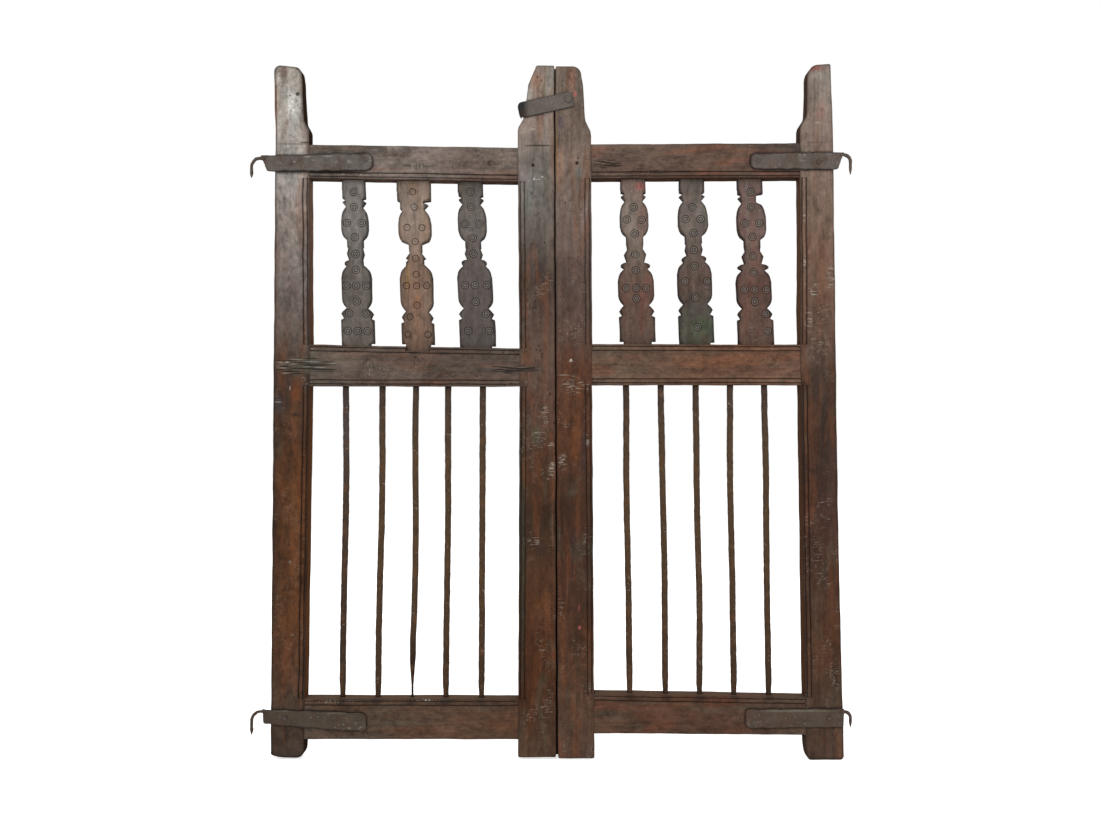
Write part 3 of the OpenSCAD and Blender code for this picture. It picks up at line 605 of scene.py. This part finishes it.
def ironMaterial(name, settings):
    look = {**ironDefaults, **settings}
    material, tree, place, colour, crevice = startMaterial(name, look)
    # painted shade, with some dirt, along the plate's outline
    rim = meshValue(tree, "rim")
    rim = times(tree, spread(tree, rim, 0.3, 0.85), look["edgeShare"])
    crevice = calc(tree, "MAXIMUM", crevice, rim)
    iron = useGroup(tree, ironGroup, {
        "Vector": place, "Colour": colour, "Rust Colour": rgb(*look["rust"]),
        "Rust Share": look["rustShare"], "Grime And Shade Colour": rgb(*look["grimeAndShade"]), "Crevice": crevice,
        "Mottle": look["mottle"], "Pits": look["pits"], "Nicks": look["nicks"]})
    colour, height = addStains(tree, place, iron.outputs["Colour"], iron.outputs["Height"],
                               look.get("marks", []))
    endMaterial(tree, colour, iron.outputs["Roughness"], height, look)
    return material


def dress(nodeName, material):
    for holder in (nodes[nodeName], pieces.get(nodeName)):
        if holder is not None:
            holder.data.materials.clear()
            holder.data.materials.append(material)


tornStrokes = [  # along, up, share of the length, half height
    (-0.85, 0.55, 0.16, 0.0010), (-0.55, 0.50, 0.35, 0.0012), (-0.2, 0.25, 0.5, 0.0014),
    (0.25, 0.0, 0.6, 0.0020), (-0.7, -0.15, 0.3, 0.0014), (-0.1, -0.4, 0.55, 0.0016),
    (0.45, -0.5, 0.45, 0.0014), (-0.5, -0.75, 0.35, 0.0012), (0.1, 0.75, 0.3, 0.0010),
    (-0.85, -0.5, 0.2, 0.0010), (-0.35, -1.0, 0.3, 0.0010), (0.6, 0.35, 0.3, 0.0010)]
tornLips = [  # along, up, share of the length
    (-0.35, 0.65, 0.3), (0.1, 0.38, 0.3), (0.75, 0.2, 0.2), (-0.1, -0.22, 0.25), (-0.8, 0.3, 0.18),
    (-0.75, -0.35, 0.2), (0.35, -0.3, 0.25), (-0.45, 0.1, 0.2), (-0.6, -0.95, 0.25)]


def raggedCut(x, z, halfLong, halfHigh, dark, lip, halo):  # torn wood: a grey field, pale lips with painted highlight, dark strokes of painted shadow
    marks = [("torn field", x, z, halfLong * 1.15, halfHigh * 1.4, halo, 0.75, 1.4, 0.2, 0.3)]
    for along, up, share in tornLips:
        marks.append(("torn lip with painted highlight", x + halfLong * along, z + halfHigh * up, halfLong * share, 0.0015,
                      lip, 0.7, 1.2, 0.2, -0.5))
    for along, up, share, high in tornStrokes:
        marks.append(("painted shadow in torn cut", x + halfLong * along, z + halfHigh * up, halfLong * share, high,
                      dark, 0.85, 1.1, 0.3, 1.4))
    return marks


leftCut = raggedCut(-0.486, 0.790, 0.068, 0.017, (32, 27, 22), (148, 144, 130), (82, 79, 70))
middleCut = raggedCut(-0.068, 0.782, 0.052, 0.008, (38, 31, 27), (118, 108, 98), (84, 74, 66))
rightCut = raggedCut(0.118, 1.193, 0.034, 0.009, (44, 35, 30), (122, 104, 90), (98, 80, 70))

# Stiles. Bands give (height, colour); patches give (what, x, z, half width, half height, colour,
# strength, ragged, edge), and marks a depth as well.

leftHingeStile = {
    "offset": (3.1, 0.4, 0.2), "warmShare": 0.45, "nicks": 0.4, "streak": 0.45, "mottle": 1.7,
    "filmShare": 0.1, "rimShare": 0.85, "rimReach": 0.009, "lineShare": 0.3, "carveShare": 0.25,
    "sideTint": (98, 64, 41), "endTint": (50, 37, 29), "sideSpan": (0.08, 1.20),
    "innerFrom": (-0.546, -0.536),
    "nickSpots": [(-0.525, 0.792, 0.036, 0.010), (-0.530, 1.290, 0.020, 0.050)],
    "bands": [(0, (61, 51, 44)), (0.12, (74, 57, 46)), (0.25, (87, 55, 34)), (0.42, (76, 47, 27)),
              (0.6, (77, 49, 30)), (0.72, (66, 47, 36)), (0.8, (74, 59, 50)), (0.95, (115, 106, 101)),
              (1.08, (133, 122, 115)), (1.2, (160, 154, 148)), (1.36, (163, 155, 145))],
    "patches": [
        ("dark top corner", -0.535, 1.376, 0.013, 0.02, (100, 80, 72), 0.85, 0.8, 0.3),
        ("bleached horn", -0.518, 1.295, 0.024, 0.055, (228, 229, 223), 0.85, 0.9, 0.2),
        ("horn mottle", -0.530, 1.340, 0.026, 0.045, (106, 98, 91), 0.65, 2.6, 0.2),
        ("horn mottle", -0.516, 1.280, 0.026, 0.045, (116, 107, 99), 0.6, 2.6, 0.2),
        ("horn shine", -0.524, 1.330, 0.018, 0.035, (206, 204, 196), 0.5, 2.4, 0.2),
        ("orange grain", -0.510, 0.735, 0.015, 0.036, (98, 56, 31), 0.85, 0.8, 0.2),
        ("dark swirl", -0.542, 0.712, 0.018, 0.034, (56, 49, 48), 0.9, 0.7, 0.2),
        ("green shade", -0.548, 0.625, 0.014, 0.045, (60, 52, 40), 0.75, 0.8, 0.2),
        ("orange heart", -0.510, 0.40, 0.018, 0.26, (102, 64, 38), 0.6, 0.7, 0.2),
        ("dark outer edge", -0.554, 0.40, 0.016, 0.33, (62, 42, 31), 0.8, 0.6, 0.2),
    ],
    "marks": [
        # painted highlight along the left arris
        ("painted arris highlight", -0.5505, 1.300, 0.0042, 0.090, (104, 66, 46), 0.7, 0.5, 0.3, 0),
        # painted shadow of the strap on the wood
        ("painted strap shadow", -0.520, 1.177, 0.060, 0.008, (36, 27, 22), 0.75, 0.7, 0.2, 0),
        ("nail hole", -0.507, 1.332, 0.005, 0.005, (62, 60, 58), 0.95, 0.2, 0.5, 1.2),
        ("small pit", -0.522, 1.329, 0.003, 0.002, (80, 74, 70), 0.8, 0.3, 0.4, 0.6),
        ("scribed line", -0.514, 1.232, 0.05, 0.0016, (96, 84, 77), 0.7, 0.3, 0.3, 0.5),
        ("scribed dash", -0.491, 1.235, 0.016, 0.0022, (72, 62, 56), 0.85, 0.3, 0.3, 0.6),
        *leftCut,
        ("pale nick", -0.522, 0.744, 0.002, 0.006, (158, 146, 136), 0.7, 0.4, 0.3, 0.2),
        ("pale arc", -0.546, 0.716, 0.009, 0.0018, (142, 134, 126), 0.65, 0.6, 0.3, 0.2),
        ("bruise", -0.512, 0.690, 0.012, 0.006, (46, 37, 29), 0.8, 0.9, 0.2, 0.8),
        ("grey spot", -0.522, 0.396, 0.004, 0.005, (122, 114, 108), 0.7, 0.4, 0.3, 0.2),
    ],
}

leftMeetingStile = {
    "offset": (0.7, 1.4, 2.2), "warmShare": 0.5, "nicks": 0.7, "pits": 0.8, "lineShare": 0.3,
    "carveShare": 0.3, "creviceRange": (0.82, 0.45),
    "nickSpots": [(-0.013, 0.689, 0.014, 0.026), (-0.024, 0.643, 0.018, 0.022),
                  (-0.006, 0.630, 0.016, 0.010), (0.002, 0.582, 0.009, 0.022),
                  (-0.033, 0.437, 0.016, 0.012), (-0.022, 1.164, 0.016, 0.010)],
    "bands": [(0, (84, 62, 48)), (0.13, (63, 37, 22)), (0.22, (72, 43, 26)), (0.38, (77, 51, 34)),
              (0.48, (54, 37, 26)), (0.56, (71, 46, 32)), (0.72, (85, 62, 51)), (0.84, (91, 73, 63)),
              (0.96, (69, 54, 48)), (1.1, (106, 99, 92)), (1.22, (126, 115, 107)), (1.3, (142, 126, 116)),
              (1.37, (133, 124, 116))],
    "patches": [
        ("reddish top", -0.030, 1.362, 0.02, 0.03, (152, 116, 98), 0.7, 0.9, 0.2),
        ("green streak", -0.014, 1.340, 0.006, 0.024, (108, 118, 98), 0.6, 0.6, 0.2),
        ("pale flank", -0.046, 1.330, 0.012, 0.034, (156, 152, 146), 0.7, 0.8, 0.2),
        ("grey field", -0.038, 1.150, 0.034, 0.06, (116, 112, 110), 0.7, 0.8, 0.2),
        ("green field", -0.046, 1.115, 0.014, 0.034, (100, 108, 95), 0.6, 0.8, 0.2),
        ("green shade", -0.030, 0.650, 0.014, 0.034, (80, 80, 62), 0.7, 0.8, 0.2),
        ("shade under the line", -0.030, 1.196, 0.060, 0.036, (98, 90, 86), 0.7, 0.9, 0.2),
        ("green edge", -0.058, 0.450, 0.012, 0.38, (54, 49, 38), 0.85, 0.4, 0.4),
        ("dark field", -0.030, 0.480, 0.024, 0.05, (58, 42, 31), 0.7, 0.9, 0.2),
        ("orange grain", -0.018, 0.300, 0.024, 0.05, (104, 66, 42), 0.7, 0.8, 0.2),
    ],
    "marks": [
        ("scribed line", -0.026, 1.229, 0.038, 0.0026, (60, 52, 48), 0.9, 0.4, 0.3, 0.6),
        ("pale speck", -0.034, 1.162, 0.002, 0.003, (214, 206, 198), 0.9, 0.6, 0.3, 0),
        ("pale speck", -0.017, 1.166, 0.002, 0.0026, (190, 182, 174), 0.8, 0.6, 0.3, 0),
        ("pale dash", -0.036, 1.262, 0.007, 0.002, (176, 164, 150), 0.7, 0.4, 0.3, 0),
        *middleCut,
        ("bruise", -0.026, 0.640, 0.016, 0.02, (62, 46, 38), 0.6, 1.0, 0.2, 0.8),
        ("bruise", -0.028, 0.540, 0.014, 0.02, (56, 40, 33), 0.6, 1.0, 0.2, 0.8),
        ("bruise", -0.022, 0.420, 0.018, 0.03, (56, 40, 33), 0.6, 1.1, 0.2, 0.8),
    ],
}

rightMeetingStile = {
    "offset": (5.2, 2.4, 1.1), "warmShare": 0.5, "nicks": 0.6, "lineShare": 0.25,
    "carveShare": 0.25, "creviceRange": (0.78, 0.4),
    "nickSpots": [(0.023, 0.598, 0.012, 0.022), (0.043, 0.750, 0.028, 0.024), (0.040, 0.798, 0.006, 0.006),
                  (0.074, 0.745, 0.005, 0.012), (0.072, 0.640, 0.006, 0.016)],
    "bands": [(0, (89, 69, 58)), (0.12, (82, 58, 44)), (0.22, (72, 49, 35)), (0.4, (61, 39, 29)),
              (0.56, (69, 46, 33)), (0.68, (83, 52, 35)), (0.78, (84, 58, 46)), (0.86, (88, 69, 60)),
              (0.98, (85, 69, 63)), (1.1, (115, 99, 91)), (1.19, (118, 102, 92)), (1.28, (106, 91, 80)),
              (1.37, (111, 98, 87))],
    "patches": [
        ("reddish top", 0.042, 1.362, 0.011, 0.04, (140, 100, 86), 0.7, 0.9, 0.2),
        ("grey top", 0.024, 1.350, 0.009, 0.05, (108, 98, 90), 0.6, 0.8, 0.2),
        ("red by the rivet", 0.048, 1.332, 0.005, 0.009, (178, 104, 92), 0.8, 0.6, 0.2),
        ("violet shade", 0.020, 1.278, 0.010, 0.022, (88, 78, 82), 0.7, 0.8, 0.2),
        ("ochre edge", 0.018, 1.175, 0.011, 0.07, (146, 114, 96), 0.7, 0.7, 0.2),
        ("blue grey field", 0.056, 1.176, 0.014, 0.016, (106, 105, 100), 0.75, 0.7, 0.2),
        ("orange grain", 0.050, 0.640, 0.018, 0.06, (112, 70, 44), 0.7, 0.8, 0.2),
        ("dark violet", 0.048, 0.435, 0.014, 0.03, (58, 40, 38), 0.7, 0.9, 0.2),
        ("violet flank", 0.066, 0.620, 0.012, 0.08, (66, 50, 50), 0.7, 0.8, 0.2),
    ],
    "marks": [
        # painted light: the lit edge beside the gap
        ("painted lit edge by the gap", 0.0105, 1.215, 0.0035, 0.085, (116, 92, 58), 0.75, 0.5, 0.3, 0),
        ("pit", 0.054, 1.204, 0.0026, 0.003, (60, 50, 46), 0.85, 0.3, 0.4, 0.8),
        ("scratch", 0.026, 0.770, 0.018, 0.0016, (160, 146, 134), 0.6, 0.6, 0.2, 0.3),
        ("scratch", 0.032, 0.752, 0.014, 0.0014, (150, 136, 124), 0.6, 0.6, 0.2, 0.3),
        ("pale speck", 0.040, 0.800, 0.003, 0.003, (206, 198, 190), 0.85, 0.3, 0.4, 0),
        ("bruise", 0.038, 0.500, 0.016, 0.014, (54, 38, 32), 0.6, 1.0, 0.2, 0.7),
        ("pink paint", 0.056, 0.304, 0.003, 0.010, (138, 72, 66), 0.6, 0.9, 0.3, 0),
        ("pink paint", 0.057, 0.265, 0.005, 0.006, (172, 92, 90), 0.75, 0.8, 0.3, 0),
    ],
}

rightHingeStile = {
    "offset": (7.7, 0.9, 0.6), "warmShare": 0.4, "nicks": 0.6,
    "rimShare": 0.7, "rimReach": 0.006, "lineShare": 0.3, "carveShare": 0.25,
    "sideTint": (88, 62, 45), "endTint": (74, 58, 49), "sideSpan": (0.09, 1.20), "innerFrom": (0.550, 0.542),
    "nickSpots": [(0.507, 1.095, 0.005, 0.028), (0.508, 0.985, 0.005, 0.045),
                  (0.515, 0.880, 0.010, 0.032), (0.525, 0.942, 0.012, 0.022),
                  (0.560, 0.965, 0.012, 0.034)],
    "bands": [(0, (76, 60, 50)), (0.12, (72, 55, 45)), (0.2, (77, 52, 37)), (0.5, (66, 45, 37)),
              (0.68, (57, 45, 38)), (0.77, (71, 55, 46)), (0.84, (93, 72, 61)), (0.93, (106, 81, 68)),
              (1.05, (112, 89, 75)), (1.2, (120, 101, 91)), (1.29, (127, 112, 102)), (1.37, (124, 113, 104))],
    "patches": [
        ("red tip", 0.524, 1.385, 0.03, 0.012, (128, 78, 70), 0.8, 0.8, 0.2),
        ("pale tip", 0.536, 1.368, 0.022, 0.014, (152, 144, 134), 0.6, 0.8, 0.2),
        ("reddish field", 0.540, 1.295, 0.014, 0.03, (138, 106, 98), 0.6, 0.8, 0.2),
        ("red flank", 0.542, 0.980, 0.016, 0.10, (118, 84, 66), 0.5, 0.8, 0.2),
    ],
    "marks": [
        ("scribed line", 0.534, 1.235, 0.028, 0.0014, (90, 74, 66), 0.7, 0.3, 0.3, 0.5),
        ("bruise", 0.510, 1.250, 0.005, 0.010, (96, 84, 74), 0.7, 0.8, 0.2, 0.6),
        ("pale nick", 0.534, 1.275, 0.008, 0.002, (170, 158, 146), 0.6, 0.5, 0.3, 0),
    ],
}

stiles = {
    "left_hinge_stile": leftHingeStile, "left_meeting_stile": leftMeetingStile,
    "right_meeting_stile": rightMeetingStile, "right_hinge_stile": rightHingeStile,
}
for nodeName, settings in stiles.items():
    dress(nodeName, woodMaterial(nodeName + "_wood", settings))
print("stiles dressed")

# Rails: the grain lies along X, bands run from the left end to the right end

def barFootDarkening(z, places):  # darker patches round the foot of each bar
    return [("dark round bar foot", x, z, 0.016, 0.012, (46, 36, 30), 0.7, 1.0, 0.2, 0) for x in places]


railDefaults = {"bandAxis": "X", "grainTurn": 90, "warm": (112, 70, 48), "warmShare": 0.35,
                "nicks": 0.15, "mottle": 1.7}
# a lighter painted side colour and less painted shade on outlines and carving
paleEdges = {"sideTint": (104, 84, 70), "rimShare": 0.2, "lineShare": 0.2, "carveShare": 0.25}
rails = {
    "left_top_rail": {
        "offset": (0.3, 3.3, 4.0), "nicks": 0.7,
        "nickSpots": [(-0.270, 1.186, 0.020, 0.010), (-0.318, 1.224, 0.012, 0.014),
                      (-0.380, 1.172, 0.060, 0.004)],
        "bands": [(-0.50, (104, 94, 86)), (-0.40, (107, 97, 90)), (-0.28, (126, 113, 106)),
                  (-0.16, (112, 97, 89)), (-0.06, (104, 92, 84))],
        "marks": [
            # painted shadow of the strap on the wood
            ("painted strap shadow", -0.380, 1.198, 0.027, 0.025, (36, 27, 22), 0.8, 0.5, 0.4, 0),
            ("painted strap shadow", -0.440, 1.177, 0.070, 0.008, (36, 27, 22), 0.75, 0.7, 0.2, 0),
            ("knot", -0.123, 1.193, 0.008, 0.010, (62, 50, 44), 0.9, 0.6, 0.3, 0.8),
            ("knot eye", -0.119, 1.193, 0.003, 0.003, (120, 106, 96), 0.7, 0.3, 0.3, 0)],
    },
    "left_middle_rail": {
        **paleEdges, "offset": (2.3, 0.3, 1.0), "pits": 0.8, "nicks": 0.5,
        "bands": [(-0.5, (87, 76, 69)), (-0.36, (92, 79, 71)), (-0.22, (79, 67, 60)),
                  (-0.06, (87, 74, 66))],
        "patches": [
            ("dark field", -0.288, 0.800, 0.06, 0.02, (72, 60, 54), 0.7, 1.0, 0.2),
            ("green field", -0.428, 0.805, 0.04, 0.014, (88, 84, 74), 0.6, 0.9, 0.2)],
        "marks": [*leftCut, *middleCut],
    },
    "left_bottom_rail": {
        **paleEdges, "offset": (1.3, 5.3, 0.4), "warm": (104, 64, 42),
        "nickSpots": [(-0.430, 0.117, 0.050, 0.005), (-0.250, 0.120, 0.060, 0.004)],
        "bands": [(-0.50, (80, 68, 58)), (-0.36, (80, 66, 55)), (-0.22, (88, 67, 54)),
                  (-0.06, (80, 60, 46))],
        "marks": barFootDarkening(0.118, (-0.420, -0.349, -0.280, -0.212, -0.140)),
    },
    "right_top_rail": {
        "offset": (6.3, 1.3, 2.4), "warm": (120, 76, 58), "warmShare": 0.5,
        "bands": [(0.07, (97, 80, 71)), (0.2, (96, 77, 67)), (0.34, (92, 72, 61)),
                  (0.5, (77, 66, 60))],
        "marks": rightCut,
    },
    "right_middle_rail": {
        **paleEdges, "offset": (4.3, 2.3, 3.4), "warm": (120, 78, 56), "warmShare": 0.5, "pits": 0.3,
        "bands": [(0.07, (99, 81, 68)), (0.2, (100, 77, 63)), (0.34, (99, 71, 55)),
                  (0.5, (103, 78, 65))],
    },
    "right_bottom_rail": {
        **paleEdges, "offset": (8.3, 1.8, 0.9), "warm": (106, 64, 44), "warmShare": 0.45,
        "bands": [(0.07, (88, 65, 52)), (0.22, (85, 60, 47)), (0.34, (82, 58, 46)),
                  (0.50, (90, 72, 60))],
        "marks": barFootDarkening(0.126, (0.159, 0.231, 0.300, 0.369, 0.439)),
    },
}
for nodeName, settings in rails.items():
    dress(nodeName, woodMaterial(nodeName + "_wood", {**railDefaults, **settings}))
print("rails dressed")

# Balusters: thin boards, each of its own shade

balusterDefaults = {"warmShare": 0.2, "streak": 0.5, "mottle": 1.3, "pits": 0.25, "nicks": 0.3,
                    "creviceReach": 0.0012, "creviceRange": (0.5, 0.2), "sideShare": 0.6,
                    "sideTint": (48, 40, 36), "lineShare": 0.9, "carveShare": 0.75, "landLightShare": 0.17,
                    "rimShare": 0.85, "rimReach": 0.008, "grimeAndShade": (26, 22, 20)}
balusters = {
    "left_baluster_1": {
        "offset": (0.9, 0.1, 0.7), "warmShare": 0.05,
        "bands": [(0.83, (102, 94, 88)), (0.95, (96, 89, 83)), (1.08, (116, 111, 106)),
                  (1.17, (121, 115, 109))]},
    "left_baluster_2": {
        "offset": (1.9, 0.6, 1.7), "warm": (140, 104, 80), "warmShare": 0.4, "streak": 0.7, "carveShare": 0.7,
        "bands": [(0.83, (104, 84, 72)), (0.90, (116, 95, 82)), (0.97, (120, 97, 82)),
                  (1.08, (139, 122, 110)), (1.17, (124, 110, 98))],
        "patches": [
            ("ochre streak", -0.288, 0.968, 0.006, 0.05, (150, 116, 74), 0.75, 0.6, 0.2),
            ("red grain", -0.270, 0.915, 0.014, 0.022, (138, 92, 68), 0.6, 0.7, 0.2),
            ("olive flank", -0.256, 1.085, 0.012, 0.05, (124, 116, 98), 0.6, 0.7, 0.2)]},
    "left_baluster_3": {
        "offset": (2.9, 1.1, 2.7), "warmShare": 0.05,
        "bands": [(0.83, (82, 75, 72)), (0.95, (89, 80, 76)), (1.08, (102, 95, 90)),
                  (1.17, (98, 90, 84))]},
    "right_baluster_1": {
        "offset": (3.9, 1.6, 3.7), "warm": (118, 72, 58), "warmShare": 0.35,
        "bands": [(0.83, (86, 68, 60)), (0.95, (97, 75, 65)), (1.08, (124, 112, 103)),
                  (1.17, (116, 96, 88))],
        "patches": [("red head", 0.178, 1.150, 0.016, 0.012, (148, 84, 78), 0.7, 0.7, 0.2)]},
    "right_baluster_2": {
        "offset": (4.9, 2.1, 4.7), "warmShare": 0.15,
        "bands": [(0.83, (78, 76, 66)), (0.90, (79, 74, 66)), (0.97, (86, 69, 61)),
                  (1.08, (118, 106, 101)), (1.17, (90, 82, 74))],
        "patches": [
            ("green foot", 0.302, 0.866, 0.03, 0.03, (70, 84, 64), 0.75, 0.9, 0.2),
            ("green shoulder", 0.308, 1.090, 0.010, 0.03, (92, 104, 88), 0.6, 0.8, 0.2)]},
    "right_baluster_3": {
        "offset": (5.9, 2.6, 5.7), "warm": (118, 74, 60), "warmShare": 0.3,
        "bands": [(0.83, (92, 72, 63)), (0.95, (89, 66, 58)), (1.08, (107, 90, 84)),
                  (1.17, (104, 94, 90))]},
}
for nodeName, settings in balusters.items():
    dress(nodeName, woodMaterial(nodeName + "_wood", {**balusterDefaults, **settings}))
print("balusters dressed")

# Ironwork

bars = {"bandAxis": "Z", "rust": (104, 74, 52), "rustShare": 0.5, "mottle": 0.5, "specular": 0.04,
        "bands": [(0.10, (66, 49, 37)), (0.40, (78, 60, 43)), (0.60, (80, 63, 46)), (0.78, (69, 57, 50))]}
rustedBar = {**bars, "bands": [(0.10, (34, 23, 16)), (0.19, (44, 30, 20)), (0.26, (76, 58, 42)),
                               (0.60, (80, 63, 46)), (0.78, (69, 57, 50))]}
firstBar = {**bars, "bands": [(0.10, (60, 45, 36)), (0.40, (70, 54, 42)), (0.55, (72, 58, 48)),
                              (0.65, (76, 65, 63)), (0.78, (66, 55, 51))]}
smallIron = {"rustShare": 0.3, "creviceReach": 0.0005}
straps = {
    "left_upper_strap": {
        "bands": [(-0.61, (74, 62, 50)), (-0.56, (84, 75, 69)), (-0.36, (90, 84, 78))],
        "marks": [
            ("pale scratch", -0.518, 1.196, 0.010, 0.0024, (176, 170, 162), 0.65, 1.6, 0.2, 0),
            ("pale scratch", -0.485, 1.206, 0.008, 0.0020, (166, 160, 152), 0.6, 1.6, 0.2, 0),
            ("pale scratch", -0.446, 1.207, 0.012, 0.0018, (160, 154, 146), 0.6, 1.6, 0.2, 0),
            ("pale scratch", -0.404, 1.196, 0.006, 0.0060, (140, 134, 127), 0.5, 2.0, 0.2, 0)]},
    "left_lower_strap": {
        "edgeShare": 0.5, "bands": [(-0.61, (66, 52, 40)), (-0.56, (65, 55, 44)), (-0.37, (71, 61, 50))],
        # painted highlight along the top edge
        "marks": [("painted top edge highlight", -0.520, 0.0990, 0.050, 0.0030, (104, 96, 82), 0.45, 0.9, 0.3, 0),
                  ("painted top edge highlight", -0.425, 0.0945, 0.050, 0.0030, (104, 96, 82), 0.45, 0.9, 0.3, 0)]},
    "right_upper_strap": {"bands": [(0.39, (88, 79, 73)), (0.56, (92, 83, 77)), (0.61, (80, 64, 48))]},
    "right_lower_strap": {
        "edgeShare": 0.45, "bands": [(0.38, (78, 62, 52)), (0.56, (74, 62, 54)), (0.61, (68, 52, 40))],
        # painted highlight along the top edge
        "marks": [("painted top edge highlight", 0.489, 0.0990, 0.100, 0.0036, (116, 112, 96), 0.55, 0.9, 0.3, 0)]},
    # painted shade: the near-black bands at the bent left end of the latch
    "latch_strap": {"bands": [(-0.075, (9, 5, 6)), (-0.054, (14, 9, 10)), (-0.044, (88, 80, 74)),
                              (0.03, (98, 90, 83))], "rustShare": 0.2, "wander": 0.004,
                    "creviceReach": 0.0015, "edgeShare": 0.6},
    "latch_rivet": {**smallIron, "bands": [(0.02, (94, 88, 78)), (0.045, (98, 91, 80))]},
    "left_nails": {**smallIron, "bands": [(-0.55, (76, 66, 56)), (-0.36, (82, 74, 66))]},
    "right_nails": {**smallIron, "bands": [(0.39, (84, 73, 64)), (0.56, (78, 67, 58))]},
}
barMaterial = ironMaterial("bar_rust", bars)
firstBarMaterial = ironMaterial("first_bar_rust", firstBar)
rustedBarMaterial = ironMaterial("rusted_bar_rust", rustedBar)
for side in ("left", "right"):
    for number in range(1, 6):
        dress(f"{side}_bar_{number}", barMaterial)
dress("left_bar_1", firstBarMaterial)
dress("left_bar_3", rustedBarMaterial)
for nodeName, settings in straps.items():
    dress(nodeName, ironMaterial(nodeName + "_iron", settings))
print("ironwork dressed")

pegs = {"bands": [(1.18, (58, 47, 41)), (1.20, (70, 57, 49))], "streak": 0.3, "sideShare": 0.0,
        "lineShare": 0.0}
pegMaterial = woodMaterial("peg_wood", pegs)
for nodeName in ("left_peg", "right_peg"):
    dress(nodeName, pegMaterial)
print("pegs dressed")

# Stage, light and camera

stage = {"floorHalf": 12.0, "floorColour": (0.9, 0.9, 0.9, 1), "floorGlow": 0.72,
         "skyStrength": 0.55, "photoWidth": 2.2, "distance": 2.8, "aim": (-0.002, 0.696)}


def seenDirectly(tree):  # 1 for rays that show the stage itself
    path = tree.nodes.new("ShaderNodeLightPath").outputs
    seen = calc(tree, "MAXIMUM", path["Is Camera Ray"], path["Is Glossy Ray"])
    return calc(tree, "MAXIMUM", seen, path["Is Transmission Ray"])


def buildStage():
    bpy.ops.mesh.primitive_plane_add(size=2 * stage["floorHalf"], location=(0, 0, 0))
    floor = bpy.context.object
    floor.name = "floor"
    material = bpy.data.materials.new("pale_floor")
    tree = emptyTree(material)
    paper = put(tree, "ShaderNodeBsdfDiffuse", {"Color": stage["floorColour"]})
    glow = put(tree, "ShaderNodeEmission", {
        "Color": (1, 1, 1, 1), "Strength": times(tree, seenDirectly(tree), stage["floorGlow"])})
    both = put(tree, "ShaderNodeAddShader", {0: paper.outputs[0], 1: glow.outputs[0]})
    put(tree, "ShaderNodeOutputMaterial", {"Surface": both.outputs[0]})
    floor.data.materials.append(material)
    world = bpy.data.worlds.new("white_room")
    bpy.context.scene.world = world
    tree = emptyTree(world)
    strength = calc(tree, "MULTIPLY_ADD", seenDirectly(tree), 1 - stage["skyStrength"], stage["skyStrength"])
    sky = put(tree, "ShaderNodeBackground", {"Color": (1, 1, 1, 1), "Strength": strength})
    put(tree, "ShaderNodeOutputWorld", {"Surface": sky.outputs[0]})


lamps = [  # name, place, aim, size, watts
    ("front_soft", (-1.2, -3.6, 2.4), (0, 0, 0.7), 2.4, 62),
    ("right_soft", (2.8, -2.6, 1.4), (0, 0, 0.7), 2.0, 24),
    ("back_soft", (0.5, 3.5, 2.6), (0, 0, 0.7), 2.4, 40),
]


def addLamps():
    for name, place, aim, size, watts in lamps:
        lamp = bpy.data.lights.new(name, "AREA")
        lamp.shape = "SQUARE"
        lamp.size = size
        lamp.energy = watts
        holder = bpy.data.objects.new(name, lamp)
        holder.location = place
        holder.rotation_euler = (Vector(aim) - Vector(place)).to_track_quat("-Z", "Y").to_euler()
        bpy.context.scene.collection.objects.link(holder)


def addCamera():
    lens = bpy.data.cameras.new("photo_camera")
    lens.sensor_width = 36
    lens.lens = lens.sensor_width * stage["distance"] / stage["photoWidth"]
    camera = bpy.data.objects.new("photo_camera", lens)
    camera.location = (stage["aim"][0], frontY - stage["distance"], stage["aim"][1])
    camera.rotation_euler = (math.radians(90), 0, 0)
    bpy.context.scene.collection.objects.link(camera)
    bpy.context.scene.camera = camera


buildStage()
addLamps()
addCamera()
bpy.context.scene.view_settings.view_transform = "Standard"
print("stage, light and camera ready")
